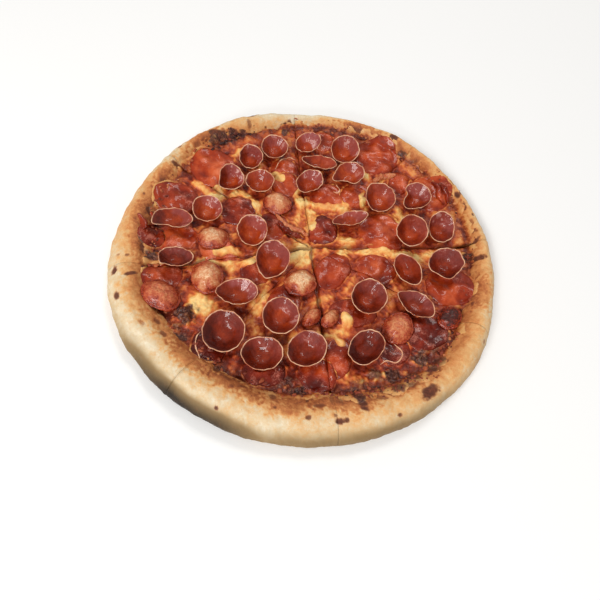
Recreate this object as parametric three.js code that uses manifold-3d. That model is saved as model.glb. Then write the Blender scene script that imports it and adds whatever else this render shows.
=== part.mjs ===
// A 14-inch pepperoni pizza, cut into eight slices that still lie together.
// Millimetres, +Z up. The origin is the middle of the underside, and -Y is the side nearest the viewer.
// Directions on the pizza are in degrees, counted from +X towards +Y.
import * as THREE from "three";
import { mergeVertices } from "three/addons/utils/BufferGeometryUtils.js";
import Module from "manifold-3d";

const wasm = await Module();
wasm.setup();

// ---------- driving dimensions ----------
const CRUST_RADIUS = 176.5;
const TOPPING_RADIUS = 150.5; // the sauce and cheese reach this far from their own centre
const TOPPING_CENTRE = [4.5, 13]; // they lie off-centre, so that the near rim is the widest
const BASE_THICKNESS = 4; // dough under the cheese
const CHEESE_TOP = 7.6; // mean height of the melted cheese
const RIM_HEIGHT = 20; // mean height of the rim's crown
const RIM_LEAN = 2.5; // the near side of the rim has risen this much more than its mean
const SEAM_GAP = 0.3; // between pieces that touch
const KERF = 1; // width of the cuts between the slices

// The eight cuts start where they cross, a little off the middle, and run out in these directions.
const CUT_CENTRE = [3, 5.5];
const CUTS = [13, 58.5, 105, 155, 200.5, 240.3, 285, 340];
const STEPS_PER_SLICE = 9;

// Where the edge of the crust swells out or draws in: direction, millimetres, spread in degrees.
const EDGE_SWELLS = [
  [38, 2, 14],
  [72, 3.5, 16],
  [120, 2, 18],
  [174, -2, 14],
  [214, 2, 18],
  [272, -1, 25],
  [333, 1.5, 15],
];
// Where the sauce and cheese have run further out or stop short.
const TOPPING_SWELLS = [
  [35, 4, 14],
  [145, 4, 12],
  [193, -4, 8],
  [210, 6, 12],
  [285, -4, 12],
  [326, 4, 12],
];
// Bubbles and dips along the crown of the rim: direction, millimetres, spread in degrees.
const RIM_BUBBLES = [
  [12, 1.5, 6],
  [31, -1.5, 8],
  [66, 2, 7],
  [98, -1.5, 9],
  [128, 1.5, 7],
  [163, -1, 8],
  [190, 1.5, 9],
  [228, -1.5, 6],
  [251, 1, 8],
  [298, 1.5, 8],
  [322, -1, 6],
  [346, 1, 7],
];
// Section of the rim: the share of its width from the topping outwards, and the share of its height.
const RIM_SECTION = [
  [0.02, 0.44],
  [0.14, 0.7],
  [0.34, 0.93],
  [0.56, 1],
  [0.78, 0.88],
  [0.94, 0.62],
  [1, 0.36],
  [0.97, 0.13],
  [0.86, 0],
];
// Stations from the tip of a slice to the edge of its cheese.
const CHEESE_STATIONS = [0.2, 0.4, 0.6, 0.78, 0.92, 1];

// ---------- pepperoni ----------
// Cups: x, y of the mouth, its long and short width, the direction of the long one, how far the mouth
// leans over in degrees and towards where, and the cup's depth.
const CUPS = {
  pepperoni_cup_01: [-52, 114, 30, 28, 107, 5, 285, 9.5],
  pepperoni_cup_02: [-73, 95, 26, 24, 102, 20, 270, 9.5],
  pepperoni_cup_03: [-85, 64, 27, 24, 110, 20, 315, 10.5],
  pepperoni_cup_04: [-58, 66, 29, 27, 159, 5, 225, 9.5],
  pepperoni_cup_05: [-20, 127, 28, 25, 55, 15, 210, 9.5],
  pepperoni_cup_06: [20, 127, 31, 30, 86, 20, 270, 10.5],
  pepperoni_cup_07: [-4, 106, 33, 22, 0, 12, 90, 8],
  pepperoni_cup_08: [-10, 77, 28, 26, 42, 5, 210, 9.5],
  pepperoni_cup_09: [28, 96, 31, 28, 46, 5, 195, 9.5],
  pepperoni_cup_10: [62, 72, 33, 30, 85, 10, 285, 9.5],
  pepperoni_cup_11: [97, 80, 31, 28, 67, 10, 210, 9.5],
  pepperoni_cup_12: [94, 35, 31, 29, 81, 20, 270, 10.5],
  pepperoni_cup_13: [123, 49, 31, 28, 72, 25, 300, 10.5],
  pepperoni_cup_14: [35, 41, 29, 23, 20, 22, 130, 8.5],
  pepperoni_cup_15: [126, 6, 31, 29, 38, 15, 210, 10.5],
  pepperoni_cup_16: [93, -5, 30, 24, 55, 18, 195, 9.5],
  pepperoni_cup_17: [60, -41, 33, 31, 75, 5, 240, 10.5],
  pepperoni_cup_18: [103, -38, 31, 25, 155, 5, 90, 8.5],
  pepperoni_cup_19: [62, -88, 33, 28, 52, 18, 180, 10.5],
  pepperoni_cup_20: [14, -99, 33, 31, 48, 10, 165, 10.5],
  pepperoni_cup_21: [-21, -110, 34, 31, 3, 10, 105, 11.5],
  pepperoni_cup_22: [-55, -97, 36, 34, 103, 5, 285, 10.5],
  pepperoni_cup_23: [-12, -74, 33, 31, 92, 5, 270, 10.5],
  pepperoni_cup_24: [-52, -59, 33, 29, 20, 12, 90, 10.5],
  pepperoni_cup_25: [-29, -21, 33, 31, 101, 15, 270, 10.5],
  pepperoni_cup_26: [-53, 6, 30, 28, 107, 15, 270, 10.5],
  pepperoni_cup_27: [-113, -35, 30, 25, 166, 18, 90, 9.5],
  pepperoni_cup_28: [-126, 3, 35, 27, 8, 14, 80, 8.5],
  pepperoni_cup_29: [-99, 22, 29, 27, 131, 5, 330, 9.5],
};
const CUP_WALL = 1.7;
const CUP_WAVE = 0.8; // how far a cup's edge rises and falls

// Pieces that cupped the other way round and show a domed back: x, y, long and short width, the
// direction of the long one, lean and where it leans to, height.
const DOME_WAVE = 0.3;
const DOMES = {
  pepperoni_dome_01: [-37, 48, 30, 27, 143, 5, 165, 9],
  pepperoni_dome_02: [-88, -5, 30, 27, 9, 8, 90, 9],
  pepperoni_dome_03: [-82, -47, 32, 28, 114, 10, 270, 10],
  pepperoni_dome_04: [-115, -73, 37, 28, 160, 15, 30, 9],
  pepperoni_dome_05: [-1, -35, 30, 28, 35, 5, 135, 10],
  pepperoni_dome_06: [89, -63, 31, 26, 59, 10, 240, 9],
  pepperoni_dome_07: [134, -44, 23, 20, 63, 12, 200, 6],
  pepperoni_dome_08: [14, -67, 22, 14, 60, 10, 105, 8],
  pepperoni_dome_09: [30, -65, 22, 13, 65, 10, 105, 8],
};

// The large slices that stayed flat and lie whole on the cheese: x, y, long and short width, the
// direction of the long one, lean and where it leans to.
const FLATS = {
  pepperoni_flat_01: [-109, 80, 48, 46, 112, 14, 322],
  pepperoni_flat_02: [-132, 32, 43, 40, 173, 12, 345],
  pepperoni_flat_03: [54, 134, 50, 48, 77, 14, 250],
  pepperoni_flat_04: [112, 96, 48, 45, 71, 16, 222],
  pepperoni_flat_05: [68, 38, 48, 45, 170, 3, 150],
  pepperoni_flat_06: [134, -9, 46, 43, 9, 10, 176],
};
const FLAT_THICKNESS = 1.6;
const FLAT_WAVE = 0.5;
const FLAT_CURL = 0.5; // how far its edge lifts

// Slices that have sunk into the cheese and lie mostly under others: x, y, long and short width and
// the direction of the long one.
const SUNK_SLICES = [
  [-73, 33, 36, 35, 46],
  [-121, -10, 38, 34, 13],
  [-80, -16, 40, 30, 145],
  [-120, -53, 36, 32, 46],
  [-42, -30, 32, 31, 11],
  [-38, 94, 31, 29, 82],
  [-32, 74, 32, 30, 18],
  [-38, 21, 34, 32, 115],
  [-5, 142, 28, 26, 82],
  [10, 69, 35, 33, 25],
  [39, 77, 34, 32, 62],
  [82, 104, 30, 27, 79],
  [10, 28, 36, 32, 85],
  [66, -5, 38, 35, 158],
  [26, -15, 44, 30, 62],
  [49, -54, 44, 28, 11],
  [40, -99, 40, 26, 82],
  [26, -117, 32, 29, 166],
  [-17, -122, 36, 24, 10],
  [-65, -108, 32, 28, 154],
  [114, -61, 42, 34, 24],
  [88, -83, 29, 26, 34],
  [-12, -55, 35, 30, 85],
  [-141, -16, 24, 22, 125],
];
const SUNK_PROUD = 1.1; // how far they stand out of the cheese
const SUNK_DEPTH = 1.2; // how far they reach into it
const SUNK_CROWN = 0.2; // how much higher they are in the middle

const ROUND_SIDES = 12; // sides of a pepperoni piece
const LIFT_STEP = 0.4; // how finely a piece is set down on what carries it
const TRIAL_SWELL = 1.02; // a piece is tried this much larger, which keeps it clear of its neighbours
const AIM_ROUNDS = 12; // rounds that bring a point on a ray to its distance from the middle
const TALLER_THAN_SUNK = 10; // how far the space over the cheese reaches, more than any sunk slice

// ---------- materials ----------
const CRUST_MATERIAL = new THREE.MeshStandardMaterial({ color: 0xe0b27c, roughness: 0.75, metalness: 0 });
const CHEESE_MATERIAL = new THREE.MeshStandardMaterial({ color: 0xd07c3c, roughness: 0.35, metalness: 0 });
const CUP_MATERIAL = new THREE.MeshStandardMaterial({ color: 0x8e2620, roughness: 0.25, metalness: 0 });
const DOME_MATERIAL = new THREE.MeshStandardMaterial({ color: 0x9c4430, roughness: 0.4, metalness: 0 });
const FLAT_MATERIAL = new THREE.MeshStandardMaterial({ color: 0xa8382c, roughness: 0.3, metalness: 0 });

// ---------- small helpers ----------
const radians = THREE.MathUtils.degToRad;
const heading = (degrees) => [Math.cos(radians(degrees)), Math.sin(radians(degrees))];
const directionOf = (x, y) => THREE.MathUtils.radToDeg(Math.atan2(y, x));

// The sum of the bumps of a list of [direction, size, spread] at one direction.
function bumpsAt(list, degrees) {
  return list.reduce((sum, [at, size, spread]) => {
    const away = THREE.MathUtils.euclideanModulo(degrees - at + 180, 360) - 180;
    return sum + size * Math.exp(-((away / spread) ** 2));
  }, 0);
}

// Distance of the crust's outer edge from the middle.
const crustRadius = (degrees) => CRUST_RADIUS + bumpsAt(EDGE_SWELLS, degrees);

// Distance of the topping's edge from the middle, for a round topping that lies off-centre.
function toppingRadius(degrees) {
  const [x, y] = heading(degrees);
  const along = TOPPING_CENTRE[0] * x + TOPPING_CENTRE[1] * y;
  const across = TOPPING_CENTRE[0] * y - TOPPING_CENTRE[1] * x;
  return along + Math.sqrt(TOPPING_RADIUS ** 2 - across ** 2) + bumpsAt(TOPPING_SWELLS, degrees);
}

// Height of the rim's crown: higher on the near side, with bubbles.
function rimHeight(degrees) {
  return RIM_HEIGHT - RIM_LEAN * Math.sin(radians(degrees)) + bumpsAt(RIM_BUBBLES, degrees);
}

// Height of the melted cheese, a gently lumpy surface.
function cheeseHeight(x, y) {
  return CHEESE_TOP + 0.5 * Math.sin(x / 17 + 1.3) * Math.cos(y / 13) + 0.35 * Math.sin((x + 1.4 * y) / 11);
}

// ---------- closed solids ----------
// Keeps the positions alone, with shared corners merged and flat triangles dropped.
function closedGeometry(geometry) {
  geometry.deleteAttribute("normal");
  geometry.deleteAttribute("uv");
  const merged = mergeVertices(geometry, 1e-3);
  const kept = [];
  for (let i = 0; i < merged.index.count; i += 3) {
    const [a, b, c] = [0, 1, 2].map((k) => merged.index.getX(i + k));
    if (a !== b && b !== c && c !== a) kept.push(a, b, c);
  }
  merged.setIndex(kept);
  return merged;
}

function geometryToSolid(geometry, matrix = new THREE.Matrix4()) {
  const placed = geometry.clone().applyMatrix4(matrix);
  return new wasm.Manifold(
    new wasm.Mesh({
      numProp: 3,
      vertProperties: new Float32Array(placed.attributes.position.array),
      triVerts: new Uint32Array(placed.index.array),
    }),
  );
}

function solidToGeometry(solid) {
  const { vertProperties, triVerts } = solid.getMesh();
  const geometry = new THREE.BufferGeometry();
  geometry.setAttribute("position", new THREE.BufferAttribute(vertProperties, 3));
  geometry.setIndex(new THREE.BufferAttribute(triVerts, 1));
  return geometry;
}

// Sweeps a closed section round a slice. Each section is a loop of points that lies in a standing plane
// through the slice's tip, and the first and the last section are the two cut faces.
function sweepSections(sections) {
  const size = sections[0].length;
  const index = [];
  for (let j = 0; j + 1 < sections.length; j++) {
    for (let k = 0; k < size; k++) {
      const [a, b] = [j * size + k, j * size + ((k + 1) % size)];
      index.push(a, b, a + size, b, b + size, a + size);
    }
  }
  const last = (sections.length - 1) * size;
  const flat = sections[0].map((p) => new THREE.Vector2(p.distanceTo(sections[0][0].clone().setZ(p.z)), p.z));
  for (const [a, b, c] of THREE.ShapeUtils.triangulateShape(flat, [])) {
    index.push(a, b, c, last + a, last + c, last + b);
  }
  const geometry = new THREE.BufferGeometry().setFromPoints(sections.flat());
  geometry.setIndex(index);
  return closedGeometry(geometry);
}

// ---------- slices ----------
// The tip of a slice: the cuts on its two sides have a width, so the tip stands off their crossing.
function sliceFrame(slice) {
  const from = CUTS[slice];
  const to = CUTS[(slice + 1) % CUTS.length] + (slice + 1 === CUTS.length ? 360 : 0);
  const halfAngle = (to - from) / 2;
  const [x, y] = heading(from + halfAngle);
  const back = KERF / 2 / Math.sin(radians(halfAngle));
  return { from, to, tip: new THREE.Vector2(CUT_CENTRE[0] + back * x, CUT_CENTRE[1] + back * y) };
}

// The point that a ray from the tip meets at a distance from the middle that depends on the direction.
function alongRay(tip, degrees, distanceAt) {
  const [x, y] = heading(degrees);
  const point = new THREE.Vector2();
  let reach = CRUST_RADIUS;
  for (let round = 0; round < AIM_ROUNDS; round++) {
    point.set(tip.x + reach * x, tip.y + reach * y);
    reach += distanceAt(directionOf(point.x, point.y)) - point.length();
  }
  return point.set(tip.x + reach * x, tip.y + reach * y);
}

function sliceSections(slice, sectionAt) {
  const { from, to, tip } = sliceFrame(slice);
  return Array.from({ length: STEPS_PER_SLICE + 1 }, (_, step) =>
    sectionAt(tip, from + ((to - from) * step) / STEPS_PER_SLICE),
  );
}

// Dough: a thin base that rises to the rounded rim.
function crustSection(tip, degrees) {
  const rimPoint = (share, z) => {
    const radiusAt = (at) => toppingRadius(at) + share * (crustRadius(at) - toppingRadius(at));
    const { x, y } = alongRay(tip, degrees, radiusAt);
    return new THREE.Vector3(x, y, z * rimHeight(directionOf(x, y)));
  };
  return [
    new THREE.Vector3(tip.x, tip.y, 0),
    new THREE.Vector3(tip.x, tip.y, BASE_THICKNESS),
    rimPoint(0, 0).setZ(BASE_THICKNESS),
    ...RIM_SECTION.map(([share, z]) => rimPoint(share, z)),
  ];
}

// Sauce and cheese: a layer on the base, out to the foot of the rim.
function cheeseSection(tip, degrees) {
  const edge = alongRay(tip, degrees, (at) => toppingRadius(at) - 2 * SEAM_GAP);
  const top = CHEESE_STATIONS.map((share) => {
    const { x, y } = tip.clone().lerp(edge, share);
    return new THREE.Vector3(x, y, cheeseHeight(x, y));
  });
  const underside = BASE_THICKNESS + SEAM_GAP;
  return [
    new THREE.Vector3(tip.x, tip.y, underside),
    new THREE.Vector3(tip.x, tip.y, cheeseHeight(tip.x, tip.y)),
    ...top,
    new THREE.Vector3(edge.x, edge.y, underside),
  ];
}

// ---------- pepperoni pieces ----------
// A round piece from a profile of [share of the radius, height], stretched to an oval. Its edge rises and
// falls twice on the way round.
function roundPiece(profile, long, short, turn, wave) {
  const points = profile.map(([share, z]) => new THREE.Vector2(share, z));
  const geometry = closedGeometry(new THREE.LatheGeometry(points, ROUND_SIDES));
  const position = geometry.attributes.position;
  for (let i = 0; i < position.count; i++) {
    const [x, y, z] = [position.getX(i), position.getZ(i), position.getY(i)];
    const lift = wave * Math.hypot(x, y) * Math.sin(2 * Math.atan2(y, x) + turn);
    position.setXYZ(i, (x * long) / 2, (-y * short) / 2, z + lift);
  }
  return geometry.rotateZ(radians(turn));
}

function cupGeometry(long, short, turn, depth) {
  const wall = (2 * CUP_WALL) / (long + short);
  const profile = [
    [0, -depth],
    [0.6, -depth + 0.4],
    [0.92, -0.5 * depth],
    [1, 0],
    [1 - 2 * wall, 0],
    [0.55, CUP_WALL - depth + 0.6],
    [0, CUP_WALL - depth],
  ];
  return roundPiece(profile, long, short, turn, CUP_WAVE);
}

function domeGeometry(long, short, turn, height) {
  const profile = [
    [0, 0],
    [0.92, 0],
    [1, 0.28 * height],
    [0.72, 0.8 * height],
    [0, height],
  ];
  return roundPiece(profile, long, short, turn, DOME_WAVE);
}

function flatGeometry(long, short, turn) {
  const profile = [
    [0, 0],
    [0.6, 0.1],
    [1, FLAT_CURL],
    [0.97, FLAT_CURL + FLAT_THICKNESS],
    [0.6, FLAT_THICKNESS],
    [0, FLAT_THICKNESS],
  ];
  return roundPiece(profile, long, short, turn, FLAT_WAVE);
}

// A slice sunk in the cheese, before it is cut to the slice of pizza that it lies on.
function sunkSolid([x, y, long, short, turn]) {
  const profile = [
    [0, -SUNK_DEPTH],
    [1, -SUNK_DEPTH],
    [1, SUNK_PROUD],
    [0, SUNK_PROUD + SUNK_CROWN],
  ];
  const place = new THREE.Matrix4().makeTranslation(x, y, cheeseHeight(x, y));
  return geometryToSolid(roundPiece(profile, long, short, turn, 0), place);
}

// The space over one slice's cheese, out to the foot of the rim.
function sliceSpace(slice) {
  const bottom = BASE_THICKNESS + SEAM_GAP;
  const top = CHEESE_TOP + TALLER_THAN_SUNK;
  const sections = sliceSections(slice, (tip, degrees) => {
    const edge = alongRay(tip, degrees, (at) => toppingRadius(at) - 3 * SEAM_GAP);
    return [
      new THREE.Vector3(tip.x, tip.y, bottom),
      new THREE.Vector3(tip.x, tip.y, top),
      new THREE.Vector3(edge.x, edge.y, top),
      new THREE.Vector3(edge.x, edge.y, bottom),
    ];
  });
  return geometryToSolid(sweepSections(sections));
}

// ---------- the pizza ----------
const pizza = new THREE.Group();
pizza.name = "pepperoni_pizza";
const pile = []; // what lies there already, as solids

function addMesh(name, geometry, material) {
  const mesh = new THREE.Mesh(geometry, material);
  mesh.name = name;
  pizza.add(mesh);
  return mesh;
}

function addSlices() {
  const sunk = SUNK_SLICES.map(sunkSolid);
  CUTS.forEach((_, slice) => {
    const crust = sweepSections(sliceSections(slice, crustSection));
    addMesh(`crust_${slice + 1}`, crust, CRUST_MATERIAL);
    const space = sliceSpace(slice);
    const layer = geometryToSolid(sweepSections(sliceSections(slice, cheeseSection)));
    const cheese = sunk.reduce((sum, piece) => sum.add(piece.intersect(space)), layer);
    addMesh(`cheese_${slice + 1}`, solidToGeometry(cheese), CHEESE_MATERIAL);
    pile.push(geometryToSolid(crust), cheese);
  });
}

// Leans a piece over and lowers it on to what is there, as far as it goes without touching.
function setDown(mesh, x, y, lean, towards, startHeight) {
  const [hx, hy] = heading(towards);
  mesh.quaternion.setFromAxisAngle(new THREE.Vector3(-hy, hx, 0), radians(lean));
  mesh.position.set(x, y, startHeight);
  const trial = new THREE.Vector3().setScalar(TRIAL_SWELL);
  const touches = () => {
    const below = mesh.position.clone().setZ(mesh.position.z - SEAM_GAP);
    const placed = geometryToSolid(mesh.geometry, new THREE.Matrix4().compose(below, mesh.quaternion, trial));
    return pile.some((solid) => solid.intersect(placed).volume() > 0);
  };
  while (touches()) mesh.position.z += LIFT_STEP;
  mesh.updateMatrixWorld();
  pile.push(geometryToSolid(mesh.geometry, mesh.matrixWorld));
}

function addPepperoni() {
  for (const [name, [x, y, long, short, turn, lean, towards]] of Object.entries(FLATS)) {
    const mesh = addMesh(name, flatGeometry(long, short, turn), FLAT_MATERIAL);
    setDown(mesh, x, y, lean, towards, CHEESE_TOP);
  }
  for (const [name, [x, y, long, short, turn, lean, towards, height]] of Object.entries(DOMES)) {
    const mesh = addMesh(name, domeGeometry(long, short, turn, height), DOME_MATERIAL);
    setDown(mesh, x, y, lean, towards, CHEESE_TOP);
  }
  for (const [name, [x, y, long, short, turn, lean, towards, depth]] of Object.entries(CUPS)) {
    const mesh = addMesh(name, cupGeometry(long, short, turn, depth), CUP_MATERIAL);
    setDown(mesh, x, y, lean, towards, CHEESE_TOP + depth);
  }
}

addSlices();
addPepperoni();

export default pizza;
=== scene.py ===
"""Looks of a pepperoni pizza: baked crust, melted cheese, curled and sunken pepperoni, on a white floor.

Lengths are millimetres on the pizza until a mesh is made, and directions are degrees from +X towards +Y.
"""
import math

import bmesh
import bpy
import numpy as np
from mathutils import Matrix, Vector


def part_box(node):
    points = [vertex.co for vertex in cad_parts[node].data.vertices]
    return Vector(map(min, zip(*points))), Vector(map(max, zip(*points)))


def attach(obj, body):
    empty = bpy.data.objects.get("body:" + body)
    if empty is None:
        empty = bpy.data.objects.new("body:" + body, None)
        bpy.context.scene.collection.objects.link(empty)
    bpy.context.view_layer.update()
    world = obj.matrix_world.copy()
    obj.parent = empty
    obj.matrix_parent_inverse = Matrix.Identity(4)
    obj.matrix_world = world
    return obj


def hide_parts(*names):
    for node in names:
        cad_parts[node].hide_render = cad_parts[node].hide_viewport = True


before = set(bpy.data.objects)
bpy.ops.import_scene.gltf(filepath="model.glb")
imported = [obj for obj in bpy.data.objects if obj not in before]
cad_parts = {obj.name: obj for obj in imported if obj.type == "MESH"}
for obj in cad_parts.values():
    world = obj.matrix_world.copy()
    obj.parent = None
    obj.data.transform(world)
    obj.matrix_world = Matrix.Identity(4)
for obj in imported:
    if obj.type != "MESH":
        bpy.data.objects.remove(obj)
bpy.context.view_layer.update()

MM = 0.001

# ---------------- camera
CAMERA_DISTANCE = 430.0
CAMERA_ELEVATION = 56.96
CAMERA_ROLL = 10.31
FRAME_PX = 600
FOCAL_PX = 451.5
AIM_PX = (6.2, -43.5)  # how far right of and below the picture's middle the pizza's middle lies
SENSOR = 36.0


def make_camera():
    """The camera stands on the -Y side, looks at the middle, then turns by its roll and its aim."""
    elevation, roll = math.radians(CAMERA_ELEVATION), math.radians(CAMERA_ROLL)
    place = Vector((0, -math.cos(elevation), math.sin(elevation))) * CAMERA_DISTANCE
    forward = -place.normalized()
    right = Vector((1, 0, 0))
    up = right.cross(forward)
    turned_right = right * math.cos(roll) + up * math.sin(roll)
    turned_up = up * math.cos(roll) - right * math.sin(roll)
    yaw = math.atan2(AIM_PX[0], FOCAL_PX)
    pitch = math.atan2(AIM_PX[1], math.hypot(FOCAL_PX, AIM_PX[0]))
    x_axis = turned_right * math.cos(yaw) + forward * math.sin(yaw)
    ahead = forward * math.cos(yaw) - turned_right * math.sin(yaw)
    y_axis = turned_up * math.cos(pitch) - ahead * math.sin(pitch)
    z_axis = -(turned_up * math.sin(pitch) + ahead * math.cos(pitch))
    data = bpy.data.cameras.new("camera")
    data.sensor_width = SENSOR
    data.lens = SENSOR * FOCAL_PX / FRAME_PX
    data.clip_start = 0.01
    camera = bpy.data.objects.new("camera", data)
    rotation = Matrix((x_axis, y_axis, z_axis)).transposed().to_4x4()
    camera.matrix_world = Matrix.Translation(place * MM) @ rotation
    bpy.context.scene.collection.objects.link(camera)
    bpy.context.scene.camera = camera


# ---------------- the pizza's own dimensions
CRUST_RADIUS = 176.5
TOPPING_RADIUS = 150.5
TOPPING_CENTRE = (4.5, 13)
BASE_THICKNESS = 4.0
CHEESE_TOP = 7.6
FILM_REACH = 17  # how far a film of cheese runs up the rim, at most this and this share of its width
FILM_SHARE = 0.6
RIM_HEIGHT = 20.0
RIM_LEAN = 2.5  # how much lower than that it is at +Y, and higher at -Y
CRUST_CUT = 0.015  # width of the gap between two slices, in the crust and in the cheese
CHEESE_CUT = 0.1
CUT_CENTRE = np.array((3.0, 5.5))  # where the cuts cross
CUTS = [13, 58.5, 105, 155, 200.5, 240.3, 285, 340]
SLICES = len(CUTS)
CUT_WIDTH = 1.3
CHEESE_CUT_DEPTH = 3.2
PEPPERONI_CUT_DEPTH = 1.6
# How far the topping stands up beside each cut: clockwise of it, anticlockwise of it.
CUT_STEPS = [
    (-0.6, 1.6), (0.8, -0.4), (1.5, -0.4), (0.2, 1.0), (0.9, -0.5), (0.4, -0.4), (-0.6, 1.5), (-0.3, 0.8),
]
# How clearly each cut shows in the topping and on the crust.
TOPPING_CUT_SHOWS = [0.9, 0.2, 0.35, 0.7, 0.9, 0.05, 1, 0.05]
CRUST_CUT_SHOWS = [0.7, 0.15, 0.3, 0.6, 0.2, 0.55, 0.05, 0.2]
# Swellings of the crust's edge, the topping's edge and the rim's height: direction, mm, spread.
EDGE_SWELLS = [
    (38, 2, 14), (72, 3.5, 16), (120, 2, 18), (174, -2, 14), (214, 2, 18), (272, -1, 25), (333, 1.5, 15),
]
TOPPING_SWELLS = [(35, 4, 14), (145, 4, 12), (193, -4, 8), (210, 6, 12), (285, -4, 12), (326, 4, 12)]
RIM_BUBBLES = [
    (12, 1.5, 6), (31, -1.5, 8), (66, 2, 7), (98, -1.5, 9), (128, 1.5, 7), (163, -1, 8), (190, 1.5, 9),
    (228, -1.5, 6), (251, 1, 8), (298, 1.5, 8), (322, -1, 6), (346, 1, 7),
]
# Section of the rim: share of its width from the topping outwards, share of its height.
RIM_SECTION = [
    (-0.04, 0.2), (0.02, 0.44), (0.14, 0.7), (0.34, 0.93), (0.56, 1), (0.78, 0.88), (0.94, 0.62),
    (1, 0.36), (0.97, 0.13), (0.86, 0),
]

# Cups: x, y of the mouth, long and short width, direction of the long one, lean, direction of the lean,
# depth, how pale it is, and how much painted purplish sheen its wall has.
CUPS = {
    1: (-52, 114, 30, 28, 107, 5, 285, 9.5, 0, 0.45),
    2: (-73, 95, 26, 24, 102, 20, 270, 9.5, -0.15, 0.5),
    3: (-85, 64, 27, 24, 110, 20, 315, 10.5, 0, 0.8),
    4: (-58, 66, 29, 27, 159, 5, 225, 9.5, 0.2, 0.25),
    5: (-20, 127, 28, 25, 55, 15, 210, 9.5, 0.1, 1),
    6: (20, 127, 31, 30, 86, 20, 270, 10.5, 0.15, 0.6),
    7: (-4, 106, 33, 22, 0, 12, 90, 8, 0.2, 0.2),
    8: (-10, 77, 28, 26, 42, 5, 210, 9.5, 0.1, 0.7),
    9: (28, 96, 31, 28, 46, 5, 195, 9.5, 0.2, 0.35),
    10: (62, 72, 33, 30, 85, 10, 285, 9.5, 0.1, 0.25),
    11: (97, 80, 31, 28, 67, 10, 210, 9.5, -0.1, 0.6),
    12: (94, 35, 31, 29, 81, 20, 270, 10.5, 0, 0.25),
    13: (123, 49, 31, 28, 72, 25, 300, 10.5, -0.1, 0.5),
    14: (35, 41, 29, 23, 20, 22, 130, 8.5, 0.15, 0.6),
    15: (126, 6, 31, 29, 38, 15, 210, 10.5, -0.35, 0.35),
    16: (93, -5, 31, 22, 125, 18, 215, 9.5, -0.15, 0.15),
    17: (60, -41, 33, 31, 75, 5, 240, 10.5, -0.25, 0.25),
    18: (103, -38, 31, 25, 155, 5, 90, 8.5, -0.3, 0.4),
    19: (62, -88, 33, 28, 52, 18, 180, 10.5, -0.6, 0.1),
    20: (14, -99, 33, 31, 48, 10, 165, 10.5, -0.25, 0.35),
    21: (-21, -110, 34, 31, 3, 10, 105, 11.5, -0.35, 0.2),
    22: (-55, -97, 36, 34, 103, 5, 285, 10.5, -0.5, 0.15),
    23: (-12, -74, 33, 31, 92, 5, 270, 10.5, -0.15, 0.45),
    24: (-52, -59, 33, 29, 20, 12, 90, 10.5, 0, 0.9),
    25: (-29, -21, 33, 31, 101, 15, 270, 10.5, 0, 0.6),
    26: (-53, 6, 30, 28, 107, 15, 270, 10.5, 0.25, 0.7),
    27: (-113, -35, 30, 25, 166, 18, 90, 9.5, -0.4, 0.3),
    28: (-126, 3, 35, 27, 8, 14, 80, 8.5, 0, 0.5),
    29: (-99, 22, 29, 27, 131, 5, 330, 9.5, 0.25, 0.65),
}
# Where a cup's mouth is drawn out to a point or pressed in: direction, share of the radius, spread, lift.
CUP_PULLS = {
    3: [(235, 0.3, 26, -1.5), (60, -0.08, 50, 0)],
    5: [(20, 0.12, 30, 1), (240, -0.1, 40, 0)],
    7: [(180, 0.12, 22, 0), (5, 0.12, 22, 0)],
    8: [(250, 0.16, 28, -1), (150, -0.1, 30, 0)],
    9: [(212, 0.2, 18, -1.5), (255, -0.3, 26, -1), (300, 0.08, 20, 0)],
    10: [(300, -0.06, 30, 0), (140, 0.08, 30, 0)],
    11: [(175, -0.32, 24, 1.5), (235, 0.12, 22, -1), (130, 0.12, 20, 0)],
    12: [(200, 0.06, 30, 0)],
    13: [(330, 0.1, 24, -0.5), (200, -0.06, 30, 0)],
    14: [(200, 0.2, 24, -1), (20, 0.18, 24, 1)],
    15: [(283, 0.14, 22, -1), (240, -0.08, 22, 0), (0, 0.08, 20, 0)],
    16: [(128, 0.08, 22, 1), (305, 0.08, 24, -1)],
    17: [(300, 0.06, 30, 0)],
    18: [(160, 0.22, 20, 0.5), (330, 0.16, 22, -0.5)],
    19: [(255, 0.05, 30, 0)],
    22: [(215, 0.05, 30, 0)],
    24: [(190, 0.12, 24, 0), (10, 0.06, 24, 0)],
    25: [(262, 0.16, 26, -1.5), (180, -0.05, 30, 0)],
    26: [(300, 0.05, 30, 0)],
    27: [(228, 0.2, 20, -1), (10, 0.08, 24, 0)],
    28: [(222, 0.24, 18, -1), (265, -0.1, 24, 0), (0, 0.06, 24, 0)],
    29: [(235, 0.08, 30, -1), (60, 0.06, 30, 0.5)],
}

# Domes: the same numbers with a height instead of a depth, and no painted sheen.
DOMES = {
    1: (-37, 48, 30, 27, 143, 5, 165, 9, 0.1),
    2: (-88, -5, 30, 27, 9, 8, 90, 9, 0.2),
    3: (-82, -47, 32, 28, 114, 10, 270, 10, 0.2),
    4: (-115, -73, 37, 28, 160, 15, 30, 9, -0.2),
    5: (-1, -35, 30, 28, 35, 5, 135, 10, 0.35),
    6: (89, -63, 31, 26, 59, 10, 240, 8, -0.1),
    7: (134, -44, 23, 20, 63, 12, 200, 6, -1),
    8: (14, -67, 22, 14, 60, 10, 105, 8, -0.1),
    9: (30, -65, 22, 13, 65, 10, 105, 8, 0),
}

# Flat slices: x, y, long and short width, direction of the long one, paleness.
FLATS = {
    1: (-109, 80, 48, 46, 112, 0.5),
    2: (-132, 32, 43, 40, 173, 0.2),
    3: (54, 134, 50, 48, 77, 0.3),
    4: (112, 96, 48, 45, 71, 0.65),
    5: (68, 38, 48, 45, 170, 0.75),
    6: (134, -9, 46, 43, 9, 0.4),
}
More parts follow.
